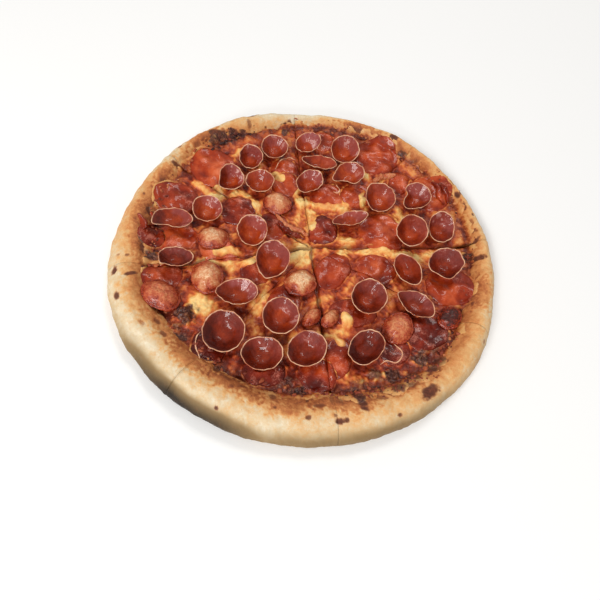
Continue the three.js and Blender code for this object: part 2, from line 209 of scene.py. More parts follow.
# Slices that have sunk into the cheese: the same numbers. They are numbered from 1.
SUNK_SLICES = [
    (-73, 33, 36, 35, 46, -0.6), (-121, -10, 38, 34, 13, 0.45), (-80, -16, 40, 30, 145, 0.45),
    (-120, -53, 36, 32, 46, 0.35), (-42, -30, 32, 31, 11, 0.3), (-38, 94, 31, 29, 82, 0.4),
    (-32, 74, 32, 30, 18, 0.4), (-38, 21, 34, 32, 115, 0), (-5, 142, 28, 26, 82, 0.5),
    (10, 69, 35, 33, 25, 0.5), (39, 77, 34, 32, 62, 0.25), (82, 104, 30, 27, 79, 0),
    (10, 28, 36, 32, 85, -0.6), (66, -5, 38, 35, 158, 0), (26, -15, 44, 30, 62, -0.3),
    (49, -54, 44, 28, 11, -0.4), (40, -99, 40, 26, 82, -0.25), (26, -117, 32, 29, 166, -0.5),
    (-17, -122, 36, 24, 10, -0.7), (-65, -108, 32, 28, 154, -1.1), (114, -61, 42, 34, 24, -0.9),
    (88, -83, 29, 26, 34, -0.9), (-12, -55, 35, 30, 85, 0.1), (-141, -16, 24, 22, 125, -0.3),
]
SLICE_THICKNESS = 1.7
SUNK_BULGE = 2.6
FLAT_BULGE = 3.4
CUP_SEED, DOME_SEED, SUNK_SEED, FLAT_SEED = 200, 300, 400, 500  # plus the number of the slice


# ---------------- noise and curves
def corner_slope(ix, iy, iz, seed):
    """Three fixed pseudo-random numbers from -1 to 1 for each corner of a lattice."""
    with np.errstate(over="ignore"):  # only the low bits of the products count
        n = (ix * 73856093 + iy * 19349663 + iz * 83492791 + seed * 1013904223) & 0xFFFFFFFF
        n = ((n ^ (n >> 15)) * 2246822519) & 0xFFFFFFFF
        n = ((n ^ (n >> 13)) * 3266489917) & 0xFFFFFFFF
        n = n ^ (n >> 16)
    return [((n >> bits) & 255) / 127.5 - 1 for bits in (0, 8, 16)]


def noise(x, y, z=0.0, size=10.0, seed=0):
    """Smooth noise, mostly from -1 to 1, with lumps about size mm across."""
    x, y, z = np.broadcast_arrays(*(np.asarray(v, float) / size for v in (x, y, z)))
    floors = [np.floor(v).astype(np.int64) for v in (x, y, z)]
    offsets = [value - low for value, low in zip((x, y, z), floors)]
    fades = [f * f * f * (f * (f * 6 - 15) + 10) for f in offsets]
    total = np.zeros(x.shape)
    flat_layer = not np.any(fades[2])
    for dz in (0,) if flat_layer else (0, 1):
        wz = fades[2] if dz else 1 - fades[2]
        for dy in (0, 1):
            wy = fades[1] if dy else 1 - fades[1]
            for dx in (0, 1):
                wx = fades[0] if dx else 1 - fades[0]
                slope = corner_slope(floors[0] + dx, floors[1] + dy, floors[2] + dz, seed)
                rise = [g * (offset - step) for g, offset, step in zip(slope, offsets, (dx, dy, dz))]
                total += wx * wy * wz * (rise[0] + rise[1] + rise[2])
    return 2.4 * total


def rough(x, y, z=0.0, size=10.0, octaves=3, seed=0):
    """Several octaves of noise, each half as large and half as strong as the last."""
    total, weight = 0.0, 1.0
    for octave in range(octaves):
        total = total + weight * noise(x, y, z, size / 2**octave, seed + 17 * octave)
        weight *= 0.5
    return total


def smoothstep(low, high, value):
    t = np.clip((value - low) / (high - low), 0, 1)
    return t * t * (3 - 2 * t)


def smooth_max(a, b, blend):
    """The larger of two, rounded where they meet."""
    h = np.clip(0.5 + 0.5 * (a - b) / blend, 0, 1)
    return b + (a - b) * h + blend * h * (1 - h)


def apart(degrees, at):
    """How far directions lie from one direction, from -180 to 180."""
    return (degrees - at + 180) % 360 - 180


def bumps_at(bumps, degrees):
    """Sum of smooth bumps, each given by its direction, height and spread."""
    total = np.zeros(np.shape(degrees))
    for at, size, spread in bumps:
        total = total + size * np.exp(-((apart(degrees, at) / spread) ** 2))
    return total


def by_direction(table, degrees):
    """A value that changes evenly between the directions of a table."""
    return np.interp(degrees % 360, *zip(*table))


def round_angles(count):
    return np.linspace(0, 360, count, endpoint=False)


def unit(degrees):
    """Cosine and sine of directions."""
    return np.cos(np.radians(degrees)), np.sin(np.radians(degrees))


def turned(dx, dy, degrees):
    """Offsets measured along one direction and across it."""
    cos, sin = math.cos(math.radians(degrees)), math.sin(math.radians(degrees))
    return dx * cos + dy * sin, dy * cos - dx * sin


def through_points(points, count):
    """A smooth curve (Catmull-Rom) through points, sampled count times."""
    p = np.array(points, float)
    p = np.vstack((2 * p[0] - p[1], p, 2 * p[-1] - p[-2]))
    t = np.linspace(0, len(points) - 1 - 1e-9, count)
    i, f = t.astype(int), (t % 1)[:, None]
    a, b, c, d = p[i], p[i + 1], p[i + 2], p[i + 3]
    return 0.5 * (2 * b + (c - a) * f + (2 * a - 5 * b + 4 * c - d) * f**2 + (3 * b - a - 3 * c + d) * f**3)


# ---------------- the pizza's form
def direction_of(x, y):
    return np.degrees(np.arctan2(y, x))


def crust_radius(degrees):
    return CRUST_RADIUS + bumps_at(EDGE_SWELLS, degrees)


def topping_radius(degrees):
    cos, sin = unit(degrees)
    along = TOPPING_CENTRE[0] * cos + TOPPING_CENTRE[1] * sin
    across = TOPPING_CENTRE[0] * sin - TOPPING_CENTRE[1] * cos
    return along + np.sqrt(TOPPING_RADIUS**2 - across**2) + bumps_at(TOPPING_SWELLS, degrees)


def past_topping(x, y):
    """How far outside the topping's edge each point lies."""
    return np.hypot(x, y) - topping_radius(direction_of(x, y))


def cheese_reach(degrees):
    """How far from the middle the thin edge of the cheese ends on the rim."""
    inner = topping_radius(degrees)
    return inner + np.minimum(FILM_REACH, FILM_SHARE * (crust_radius(degrees) - inner))


def rim_height(degrees):
    return RIM_HEIGHT - RIM_LEAN * np.sin(np.radians(degrees)) + bumps_at(RIM_BUBBLES, degrees)


RIM_CURVE = through_points(RIM_SECTION, 200)
RIM_TOP = RIM_CURVE[: int(np.argmax(RIM_CURVE[:, 0])) + 1]


def crust_height(x, y):
    """Height of the crust's upper side over a point of the table."""
    degrees = direction_of(x, y)
    inner, outer = topping_radius(degrees), crust_radius(degrees)
    share = (np.hypot(x, y) - inner) / (outer - inner)
    z = np.interp(share, RIM_TOP[:, 0], RIM_TOP[:, 1], left=-1, right=0)
    return np.where(share < RIM_SECTION[0][0], BASE_THICKNESS, z * rim_height(degrees))


def slice_frame(index, gap):
    """Directions of a slice's two cuts, and its tip, which stands off the crossing of the cuts."""
    start, end = CUTS[index], CUTS[(index + 1) % SLICES] + (360 if index == SLICES - 1 else 0)
    half = math.radians(end - start) / 2
    middle = math.radians(start) + half
    tip = CUT_CENTRE + gap / 2 / math.sin(half) * np.array((math.cos(middle), math.sin(middle)))
    return start, end, tip


def step_at_cuts(index, x, y):
    """How far a slice's topping stands up near its two cuts."""
    total = np.zeros(np.shape(x))
    dx, dy = x - CUT_CENTRE[0], y - CUT_CENTRE[1]
    fade = smoothstep(4, 16, np.hypot(dx, dy))
    uneven = 0.75 + 0.6 * noise(x, y, 7.0 * index, 14, 12)
    for cut, side in ((index, 1), ((index + 1) % SLICES, 0)):
        _, beside = turned(dx, dy, CUTS[cut])
        total = total + CUT_STEPS[cut][side] * uneven * fade * np.exp(-((np.abs(beside) / 7) ** 2))
    return total * smoothstep(6, -12, past_topping(x, y))


def cut_marks(x, y, shows, width):
    """How strongly the cuts mark each point, from 0 to 1."""
    marks = np.zeros(np.shape(x))
    dx, dy = x - CUT_CENTRE[0], y - CUT_CENTRE[1]
    wander = 1.0 * noise(x, y, 0, 13, 14) + 0.6 * noise(x, y, 0, 5, 15)
    for degrees, show in zip(CUTS, shows):
        along, across = turned(dx, dy, degrees)
        near = show * np.exp(-(((across + wander) / width) ** 2))
        marks = np.maximum(marks, np.where(along > -1, near, 0))
    return marks


def along_rays(tip, degrees, distance_at):
    """Where rays from the tip meet a distance from the middle that depends on the direction."""
    cos, sin = unit(degrees)
    reach = np.full(np.shape(degrees), CRUST_RADIUS)
    for _ in range(12):
        x, y = tip[0] + reach * cos, tip[1] + reach * sin
        reach = reach + distance_at(direction_of(x, y)) - np.hypot(x, y)
    return tip[0] + reach * cos, tip[1] + reach * sin


# Ridges of pale cheese that well up between the slices: width, height, path.
CREAM_RIDGES = [
    (3.5, 2.2, [(-94, 42), (-84, 51), (-74, 54), (-63, 50), (-56, 42), (-52, 32)]),
    (4, 1.5, [(-122, 56), (-107, 49), (-96, 43)]),
    (4.5, 2, [(34, 8), (50, 12), (68, 15), (88, 16), (104, 18)]),
    (4.5, 1.8, [(-17, 60), (-6, 55), (8, 54), (20, 58), (29, 61)]),
    (6, 1.2, [(104, 18), (116, 17), (122, 22)]),
    (5, 1.6, [(-96, -31), (-75, -30), (-62, -27), (-50, -21)]),
    (4, 1.5, [(-134, -42), (-118, -38), (-104, -35)]), (6.5, 1.3, [(-5, 44), (-4, 36), (-1, 28)]),
    (3.5, 1.6, [(21, -84), (28, -80), (36, -80), (42, -84)]), (3.5, 1.6, [(48, 62), (44, 74), (46, 84)]),
    (5, 1.5, [(-62, -16), (-70, -14), (-76, -20)]), (6, 1.2, [(-4, 4), (-10, -6), (-8, -14)]),
    (5, 1.5, [(8, -88), (0, -92), (-2, -100)]), (4, 1.5, [(84, 54), (88, 62), (84, 70)]),
    (5, 1.4, [(-74, -70), (-84, -66), (-90, -70)]), (4, 1.6, [(-38, -64), (-30, -52), (-30, -44)]),
    (4, 1.6, [(-60, 82), (-48, 84), (-40, 80)]), (1.8, 0.8, [(-22, 62), (-18, 74), (-22, 84)]),
    (3.5, 1.4, [(26, 112), (38, 112), (46, 106)]), (3.5, 1.4, [(-70, 112), (-84, 108), (-94, 100)]),
    (4, 1.4, [(44, -74), (46, -66), (42, -60)]),
]

# Rolled edges of slices: look, radius, height share, path.
LIPS = [
    ("pale", 0.7, 1.2, [(-47, 90), (-45, 100), (-41, 108), (-36, 113), (-29, 111)]),
    ("pale", 0.6, 1.2, [(-75, -97), (-77, -103), (-75, -112), (-71, -118), (-68, -123)]),
    ("pale", 0.6, 1.2, [(81, -70), (88, -78), (94, -84), (93, -90), (89, -94), (82, -93), (77, -97)]),
    ("brown", 3.4, 0.8, [(54, 101), (60, 105), (68, 108), (76, 110)]),
    ("brown", 2.6, 1.0, [(-36, 34), (-28, 27), (-19, 23), (-10, 22), (-2, 17)]),
    ("dark", 3.0, 0.9, [(-32, 26), (-24, 20), (-14, 16), (-5, 13)]),
    ("pale", 0.8, 1.2, [(17, 85), (21, 81), (20, 76), (15, 75)]),
    ("red", 2.6, 0.9, [(114, 110), (121, 104), (122, 94), (128, 85)]),
    ("red", 2.2, 0.9, [(124, 107), (130, 98), (132, 88)]),
    ("dark", 3.0, 0.6, [(-157, 0), (-151, -6), (-147, -13)]),
    ("red", 2.4, 0.7, [(-149, 8), (-145, 1), (-146, -6)]),
]


# ---------------- the top as a map of heights
CELL = 0.5
HALF_SIDE = 190.0
FAR = 99.0  # stands for nothing above, or nothing near
OIL_AND_SHADE_REACH = 14  # how far around a slice the cheese may have taken up its oil, and is darkened with painted shade
AXIS = np.arange(-HALF_SIDE, HALF_SIDE + CELL / 2, CELL)
MAP_X, MAP_Y = np.meshgrid(AXIS, AXIS, indexing="ij")


def sample(field, x, y):
    """A map's value at points between its cells."""
    u = np.clip((np.asarray(x) + HALF_SIDE) / CELL, 0, len(AXIS) - 1.001)
    v = np.clip((np.asarray(y) + HALF_SIDE) / CELL, 0, len(AXIS) - 1.001)
    i, j = u.astype(int), v.astype(int)
    f, g = u - i, v - j
    near = field[i, j] * (1 - g) + field[i, j + 1] * g
    far = field[i + 1, j] * (1 - g) + field[i + 1, j + 1] * g
    return near * (1 - f) + far * f


def blur(field, cells):
    """Three box blurs, one after the other, along both axes."""
    for _ in range(3):
        for axis in (0, 1):
            pad = [(0, 0), (0, 0)]
            pad[axis] = (cells + 1, cells)
            total = np.cumsum(np.pad(field, pad, mode="edge"), axis=axis)
            size = field.shape[axis]
            high = np.take(total, range(2 * cells + 1, 2 * cells + 1 + size), axis=axis)
            low = np.take(total, range(0, size), axis=axis)
            field = (high - low) / (2 * cells + 1)
    return field


def bottom_of(node):
    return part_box(node)[0].z / MM


def outline(long, short, turn, angles, seed, uneven=0.05):
    """Radius of a slightly uneven oval in each direction."""
    a = np.radians(angles - turn)
    oval = (long / 2) * (short / 2) / np.hypot(short / 2 * np.cos(a), long / 2 * np.sin(a))
    cos, sin = unit(angles)
    return oval * (1 + uneven * rough(1.7 * cos, 1.7 * sin, 0.5, 1.0, 2, seed))


# Lumps of cheese and crumbs that have baked hard: x, y, radius, height.
HARD_LUMPS = [
    (-101, 128, 7, 6), (-106, 120, 6, 4), (-91, 133, 5, 4), (-121, 127, 5, 4), (-92, -83, 8, 5),
    (-89, -90, 5, 4), (-47, 146, 5, 4), (83, 144, 6, 4), (142, 100, 5, 3), (13, -133, 7, 3),
    (2, -128, 7, 3), (-7, -141, 5, 3), (62, -131, 6, 3), (92, -116, 5, 3), (119, -95, 6, 3),
    (73, -107, 7, 3), (87, -105, 8, 4), (104, -104, 6, 4), (110, -87, 9, 4), (120, -76, 8, 3),
    (131, -60, 7, 3), (62, -118, 8, 3), (66, 104, 8, 3), (78, 108, 7, 3.5), (-136, -35, 6, 3),
    (-147, -26, 6, 3), (-154, 14, 5, 3), (-55, -127, 5, 3), (-95, -97, 5, 3), (153, 27, 6, 3),
]


# Where the cheese has spread further up the crust: direction, mm, spread.
BORDER_SWELLS = [
    (60, 3, 50), (128, 4, 8), (180, 3, 12), (240, -3, 30), (268, 3, 7), (288, 8, 8), (306, 9, 9),
    (322, 6, 8),
]


def cheese_map():
    """Heights of the bare cheese, with its hard lumps and the film that runs up the rim."""
    x, y = MAP_X, MAP_Y
    z = CHEESE_TOP - 0.8 + 0.5 * np.sin(x / 17 + 1.3) * np.cos(y / 13) + 0.35 * np.sin((x + 1.4 * y) / 11)
    z = z + 1.3 * rough(x, y, 0, 13, 4, seed=3) + 0.9 * np.abs(noise(x, y, 0, 5.5, seed=9)) - 0.3
    for cx, cy, radius, height in HARD_LUMPS:
        near = np.exp(-((np.hypot(x - cx, y - cy) / radius) ** 2))
        z = z + height * near * (0.75 + 0.7 * rough(x, y, 0, 4, 3, seed=21))
    past = past_topping(x, y) + 5.0 * rough(x, y, 0, 20, 4, seed=5)
    past = past - bumps_at(BORDER_SWELLS, direction_of(x, y))
    reach = cheese_reach(direction_of(x, y)) - topping_radius(direction_of(x, y))
    film = crust_height(x, y) + 1.2 - 4.2 * smoothstep(-0.35 * reach, 0.65 * reach, past)
    inside = z - 9 * smoothstep(0.18 * reach, 0.65 * reach, past)
    return np.where(past > -20, smooth_max(inside, film, 6.0 * smoothstep(-20, -8, past) + 0.5), z)


class Top:
    """The heights of what lies on the pizza, as slices are laid on it one after another."""

    def __init__(self):
        self.ceiling = np.full(MAP_X.shape, FAR)
        for kind, shapes, depth_at in (("cup", CUPS, 7), ("dome", DOMES, None)):
            for number, shape in shapes.items():
                seat = bottom_of(f"pepperoni_{kind}_{number:02d}")
                self.press(*shape[:5], seat, shape[depth_at] if depth_at else 0)
        self.cheese = np.minimum(cheese_map(), self.ceiling)
        self.z = np.maximum(self.cheese, crust_height(MAP_X, MAP_Y))
        self.nearest = np.full(MAP_X.shape, FAR)
        self.folds = np.zeros(MAP_X.shape)
        self.cream = np.zeros(MAP_X.shape)

    def press(self, x, y, long, short, turn, seat, depth):
        """Keeps what lies under a cup or dome below it."""
        window, wx, wy = self.window(x, y, long / 2 + 2)
        dx, dy = wx - x, wy - y
        share = np.hypot(dx, dy) / outline(long, short, turn, direction_of(dx, dy), 0, 0)
        below = np.where(share < 0.98, seat + 0.4 + depth * np.clip(share - 0.25, 0, 1) ** 2.2, FAR)
        self.ceiling[window] = np.minimum(self.ceiling[window], below)

    def raise_ridge(self, width, height, path):
        """Lets a ridge of pale cheese well up along a path."""
        line = through_points(path, 24)
        middle = (line.min(axis=0) + line.max(axis=0)) / 2
        window, wx, wy = self.window(*middle, np.ptp(line, axis=0).max() / 2 + 2.5 * width)
        away = np.full(wx.shape, FAR)
        for px, py in line:
            away = np.minimum(away, np.hypot(wx - px, wy - py))
        away = away / width + 0.5 * noise(wx, wy, 0, 13, 75) + 0.15 * noise(wx, wy, 0, 5, 76)
        level = self.z[window] + height * (np.exp(-(away**2)) - 0.35)
        level = np.minimum(level, self.ceiling[window])
        self.cheese[window] = np.maximum(self.cheese[window], np.where(away < 1.6, level, -FAR))
        self.cream[window] = np.maximum(self.cream[window], smoothstep(1.9, 0.3, away))

    def note_ridges(self):
        """Notes in self.ridges where the cheese stands up and where it lies low."""
        self.ridges = np.clip((self.cheese - blur(self.cheese, 9)) / 1.6, -1, 1)

    def beside_cuts(self, index, x, y, z, depth):
        """Heights on a slice, shifted beside its cuts, sunk in them, and kept below cups and domes."""
        z = z + step_at_cuts(index, x, y) - depth * cut_marks(x, y, TOPPING_CUT_SHOWS, CUT_WIDTH)
        return np.minimum(z, sample(self.ceiling, x, y))

    def window(self, x, y, reach):
        """The part of the map within reach of a point, and the places of its cells."""
        i, j, reach = int((x + HALF_SIDE) / CELL), int((y + HALF_SIDE) / CELL), int(reach / CELL)
        part = slice(max(0, i - reach), i + reach + 1), slice(max(0, j - reach), j + reach + 1)
        return part, MAP_X[part], MAP_Y[part]

    def shade_round(self, x, y, long, short, turn, seed):
        """Notes how near a slice's edge each place of the cheese lies, for the oil and the painted shade
        around it.
        """
        window, wx, wy = self.window(x, y, long / 2 + OIL_AND_SHADE_REACH)
        dx, dy = wx - x, wy - y
        away = np.hypot(dx, dy) - outline(long, short, turn, direction_of(dx, dy), seed)
        self.nearest[window] = np.minimum(self.nearest[window], away)

    def lay(self, x, y, long, short, turn, seed, bulge):
        """Lays a slice down, lets cheese well up around its edge, and gives the map of its upper side.

        Notes in self.folds where that side stands up in folds and where it lies low.
        """
        window, wx, wy = self.window(x, y, long / 2 + 8)
        under = self.z[window]
        share = np.hypot(wx - x, wy - y) / outline(long, short, turn, direction_of(wx - x, wy - y), seed)
        waves = 2.0 * noise(wx, wy, 0, 16, seed + 50) + 0.8 * noise(wx, wy, 0, 8, seed + 53)
        waves = waves + 0.12 * rough(wx, wy, 0, 3.5, 2, seed + 51)
        rise = SLICE_THICKNESS * 0.7 + bulge * (1 - share**2) + waves * smoothstep(1.05, 0.7, share)
        rise = rise - 1.0 * smoothstep(0.93, 1.03, share)
        top = smooth_max(blur(under, 7) + rise, under + 0.35, 0.7)
        top = np.minimum(top, self.ceiling[window])
        self.folds[window] = np.clip((top - blur(top, 9)) / 1.0, -1, 1)
        surface = self.z.copy()
        surface[window] = top
        brim = np.exp(-(((share - 1.02) / 0.08) ** 2)) * smoothstep(1.3, 1.1, share)
        level = top + 0.3 + 1.1 * rough(wx, wy, 0, 7, 3, seed + 52)
        welled = np.maximum(self.cheese[window], self.cheese[window] + (level - self.cheese[window]) * brim)
        welled = np.minimum(welled, self.ceiling[window])
        self.cheese[window] = welled
        self.z[window] = np.maximum(np.where(share < 1.0, np.maximum(top, under), under), welled)
        self.shade_round(x, y, long, short, turn, seed)
        return surface


# ---------------- meshes
def linear(value):
    value /= 255
    return value / 12.92 if value <= 0.04045 else ((value + 0.055) / 1.055) ** 2.4


def rgb(r, g, b):
    """A colour as it looks on a screen, in the renderer's linear numbers."""
    return (linear(r), linear(g), linear(b), 1.0)


def build_mesh(name, points, faces, material, attributes=None, flat_faces=0):
    """A mesh object from points in mm; the last flat_faces of its faces stay unsmoothed."""
    mesh = bpy.data.meshes.new(name)
    mesh.vertices.add(len(points))
    mesh.vertices.foreach_set("co", (np.asarray(points, float) * MM).astype(np.float32).ravel())
    sizes = np.concatenate([np.full(len(f), f.shape[1]) for f in faces])
    loops = np.concatenate([f.ravel() for f in faces])
    mesh.loops.add(len(loops))
    mesh.loops.foreach_set("vertex_index", loops.astype(np.int32))
    mesh.polygons.add(len(sizes))
    starts = np.concatenate(([0], np.cumsum(sizes)[:-1]))
    mesh.polygons.foreach_set("loop_start", starts.astype(np.int32))
    smooth = np.ones(len(sizes), bool)
    if flat_faces:
        smooth[-flat_faces:] = False
    mesh.polygons.foreach_set("use_smooth", smooth)
    mesh.update(calc_edges=True)
    for key, values in (attributes or {}).items():
        layer = mesh.attributes.new(key, "FLOAT", "POINT")
        layer.data.foreach_set("value", np.asarray(values, np.float32).ravel())
    mesh.materials.append(material)
    piece = bpy.data.objects.new(name, mesh)
    bpy.context.scene.collection.objects.link(piece)
    return piece


def place(piece, slot, *nodes):
    """Every piece is part of the one body; it may stand for CAD nodes."""
    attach(piece, "root")
    if nodes:
        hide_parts(*nodes)
    return piece


def grid_quads(rows, columns, wrap=False):
    """Quads between neighbouring points of a grid whose rows follow one another in the point list."""
    i = np.arange(rows - 1)[:, None] * columns
    j = np.arange(columns if wrap else columns - 1)[None, :]
    k = (j + 1) % columns
    return np.stack((i + j, i + k, i + columns + k, i + columns + j), axis=-1).reshape(-1, 4)


def wedge(grid, high, low):
    """Points and faces of a pizza slice: rays of points from its tip outwards and round under it.

    high and low are the upper and the lower tip. The last two faces are the cut sides.
    """
    rays, stations = grid.shape[:2]
    upper_tip, lower_tip = rays * stations, rays * stations + 1
    first = np.arange(rays - 1) * stations
    last, column = first + stations - 1, np.arange(stations)
    side, far_side = ([upper_tip, *(row * stations + column), lower_tip] for row in (0, rays - 1))
    return np.vstack((grid.reshape(-1, 3), high, low)), [
        grid_quads(rays, stations),
        np.stack((np.full(rays - 1, upper_tip), first, first + stations), axis=-1),
        np.stack((np.full(rays - 1, lower_tip), last + stations, last), axis=-1),
        np.array([side[::-1]]), np.array([far_side]),
    ]


def lathe(rings):
    """Points and faces of a closed body from rings of points, which run from its bottom to its top."""
    count, sides = rings.shape[:2]
    points = np.vstack((rings.reshape(-1, 3), rings[0].mean(axis=0), rings[-1].mean(axis=0)))
    pole, j = count * sides, np.arange(sides)
    k, last = (j + 1) % sides, (count - 1) * sides
    first_cap = np.stack((np.full(sides, pole), k, j), axis=-1)
    last_cap = np.stack((np.full(sides, pole + 1), last + j, last + k), axis=-1)
    return points, [grid_quads(count, sides, wrap=True), first_cap, last_cap]


def with_poles(field):
    """A field's values for the points that lathe gives."""
    return np.concatenate((field.ravel(), [field[0].mean(), field[-1].mean()]))


def with_zeros(field):
    """A field's values, and zeros for the two points that come after the grid."""
    return np.concatenate((field.ravel(), [0, 0]))


def patch_mask(patches, offset, grain, end):
    """How strongly ragged oval patches mark each point, from 0 to 1.

    offset gives every point's distances from a patch's middle, grain roughens the edges and end is
    where they end, as a share of the oval.
    """
    total = np.zeros(grain.shape)
    for x, y, long, short, turn, strength in patches:
        along, across = turned(*offset(x, y), turn)
        away = np.hypot(along / long, across / short)
        near = away < 1.8
        edge = away[near] + grain[near]
        total[near] = np.maximum(total[near], strength * (1 - smoothstep(0.5, end, edge)))
    return total


def seated(points, x, y, seat, lean, towards):
    """Points leant over towards a direction and moved to a place, the lowest of them to the height seat."""
    a = math.radians(towards)
    turn = Matrix.Rotation(math.radians(lean), 3, Vector((-math.sin(a), math.cos(a), 0)))
    points = points @ np.array(turn).T + (x, y, 0)
    points[..., 2] += seat - points[..., 2].min()
    return points


# ---------------- crust
CRUST_RAYS, CRUST_STATIONS = 118, 90
RIM_WIDTH = 30
RIM_MIDDLE = 160  # distance of the rim's middle from the pizza's
HIDDEN_ARC = 5  # how much of the rim's section lies under the topping
SCORCH_TRIES = 330

# Burnt places: direction, mm outwards from the topping over the rim, half length, half width, slant,
# strength. A slant of 0 runs along the rim and one of 90 across it.
CRUST_BURNS = [
    (201, 31.7, 4.5, 4, 0, 1), (203, 15.8, 7.5, 2.3, 80, 0.9), (209.5, 29, 4, 3.6, 0, 0.9),
    (196, 30.7, 2.5, 1.4, 90, 0.5), (196.5, 22.3, 2.5, 1.8, 90, 0.7), (254, 35.5, 2, 2, 0, 0.9),
    (278.5, 26.2, 3, 2.4, 0, 0.8), (287, 30, 4.5, 2.8, 0, 1), (289, 29.7, 2.6, 2.4, 0, 0.9),
    (286, 25.4, 2, 1.8, 0, 0.6), (269, 19.4, 2, 1.4, 0, 0.8), (314.5, 24, 10, 6, -14, 1),
    (303.5, 32.5, 2.6, 2.2, 0, 0.8), (282, 16.3, 7, 2.6, 0, 0.7), (278.5, 8.5, 2.2, 3.5, 0, 0.85),
    (286, 11.5, 6.5, 2.4, 90, 0.6), (294.8, 12.5, 14, 5.4, 88, 1), (299.5, 10.7, 4, 4, 0, 0.7),
    (303, 8.8, 4, 3, 0, 0.7), (305, 14.8, 4, 3, 0, 0.6), (338.5, 29.7, 3, 2, 0, 0.5),
    (290, 6, 9, 5, 0, 0.9), (298, 5, 9, 5, 0, 0.8), (301, 15, 7, 3, 20, 0.6), (308, 8, 7, 5, 0, 0.8),
    (312, 12, 5, 3, 30, 0.6), (316, 8, 6, 4, 0, 0.9), (322, 9, 5, 4, 0, 0.7), (288, 14, 5, 3, 0, 0.6),
    (326, 8, 5, 3, 40, 0.7), (14.5, 6.7, 9, 3, 60, 0.8), (8, 8.1, 11, 3.6, 90, 0.95), (10, 0, 6, 5, 0, 1),
    (22.5, 9.1, 5, 3, 0, 0.5), (19, 8.7, 4, 2, 60, 0.7), (34.5, 8.1, 4.5, 4, 0, 0.95),
    (29.5, 8.2, 5, 3, 0, 0.8), (39.5, 10.3, 5, 3, 0, 0.9), (66, 12.2, 6, 5, 0, 0.95),
    (60, 2.5, 7, 4, 0, 0.85), (119, 19.4, 6, 4, 0, 1), (121, 8, 7, 3, 90, 0.6), (134, 8, 11, 6, 0, 1),
    (105.5, 2.5, 6, 3, 90, 0.8), (107.5, 0, 5, 5, 0, 1), (135, 13.7, 5, 5, 0, 0.95),
    (128.5, 3.7, 9, 7, 0, 1), (132, 1.6, 8, 5, 0, 1), (124.5, 2.6, 5, 4, 0, 0.9),
    (148, 18.8, 3, 3, 0, 0.6), (154, 6.9, 8, 3, 70, 0.85), (142.5, 8.7, 4, 4, 0, 0.6),
    (176.5, 7.6, 6, 5, 0, 0.9), (185.5, 9.8, 9, 6, 0, 0.6), (192, 9.6, 9, 5, 0, 0.85),
    (194.5, 0, 7, 4, 0, 1), (226.5, 12, 5, 3, 0, 0.7), (229.5, 0, 7, 3, 0, 0.9), (221.5, 9, 5, 3, 0, 0.7),
    (220.5, 21.9, 4, 2.5, 0, 0.45), (247, 3.7, 5, 5, 0, 0.8), (267.5, 9.3, 5, 4, 0, 0.7),
    (310, 6.2, 4, 3, 0, 0.7), (314.5, 2, 5, 5, 0, 0.8), (320.5, 5.3, 6, 5, 0, 0.6),
]
# Golden places on the pale crust, with the same numbers.
CRUST_GOLD = [
    (222, 9, 26, 9, 0, 0.6), (238, 14, 24, 10, 0, 0.7), (251, 12, 20, 9, 0, 0.6),
    (276, 13, 30, 8, 0, 0.6), (292, 17, 24, 9, 0, 0.7), (254, 10, 30, 9, 0, 0.8),
    (261, 14, 16, 8, 0, 0.7), (273, 19, 18, 8, 0, 0.6), (240, 16, 14, 8, 0, 0.5),
    (212, 14, 34, 13, 0, 0.3), (186, 12, 40, 12, 0, 0.3), (285, 14, 24, 8, 0, 0.8),
    (310, 10, 30, 8, 0, 0.7), (345, 5, 20, 8, 0, 0.3), (354, 12, 20, 16, 0, 0.6), (235, 6, 26, 8, 0, 0.7),
    (140, 14, 24, 9, 0, 0.7), (160, 12, 20, 8, 0, 0.5), (78, 8, 26, 8, 0, 0.6),
]
# How brown the crust is in each direction.
TOAST_BY_DIRECTION = [
    (0, 0.36), (20, 0.38), (40, 0.4), (60, 0.43), (80, 0.34), (92, 0.18), (104, -0.06), (118, 0.15),
    (140, 0.25), (152, 0.2), (165, 0.45), (180, 0.45), (200, 0.23), (215, 0.18), (228, 0.08), (250, 0.19),
    (270, 0.2), (290, 0.22), (310, 0.38), (332, 0.36), (346, 0.26), (360, 0.36),
]
# How dark the underside is in each direction: partly a browner baked underside, partly painted shade.
UNDERSIDE_BAKE_AND_SHADE_BY_DIRECTION = [
    (0, 0.3), (60, 0.2), (150, 0.1), (204, 0.2), (220, 0.45), (230, 0.8), (242, 1.05), (256, 0.95),
    (268, 0.5), (300, 0.6), (330, 0.35), (360, 0.3),
]


def scorch_marks():
    """Small brown marks beside the topping, more of them where the crust is browner."""
    random = np.random.default_rng(8)
    marks = []
    for _ in range(SCORCH_TRIES):
        direction, arc = random.uniform(0, 360), random.gamma(2.0, 3.2) - 2
        long, strength = random.uniform(0.7, 2.6), random.uniform(0.35, 0.85)
        if random.uniform(0, 0.55) < by_direction(TOAST_BY_DIRECTION, direction):
            short, slant = long * random.uniform(0.5, 1), random.uniform(0, 180)
            marks.append((direction, arc, long, short, slant, strength))
    return marks


def crust_relief(x, y, z):
    relief = 0.7 * rough(x, y, z, 34, 2, seed=31) + 0.4 * rough(x, y, z, 11, 2, seed=33)
    return relief + 0.16 * rough(x, y, z, 4, 3, seed=35)


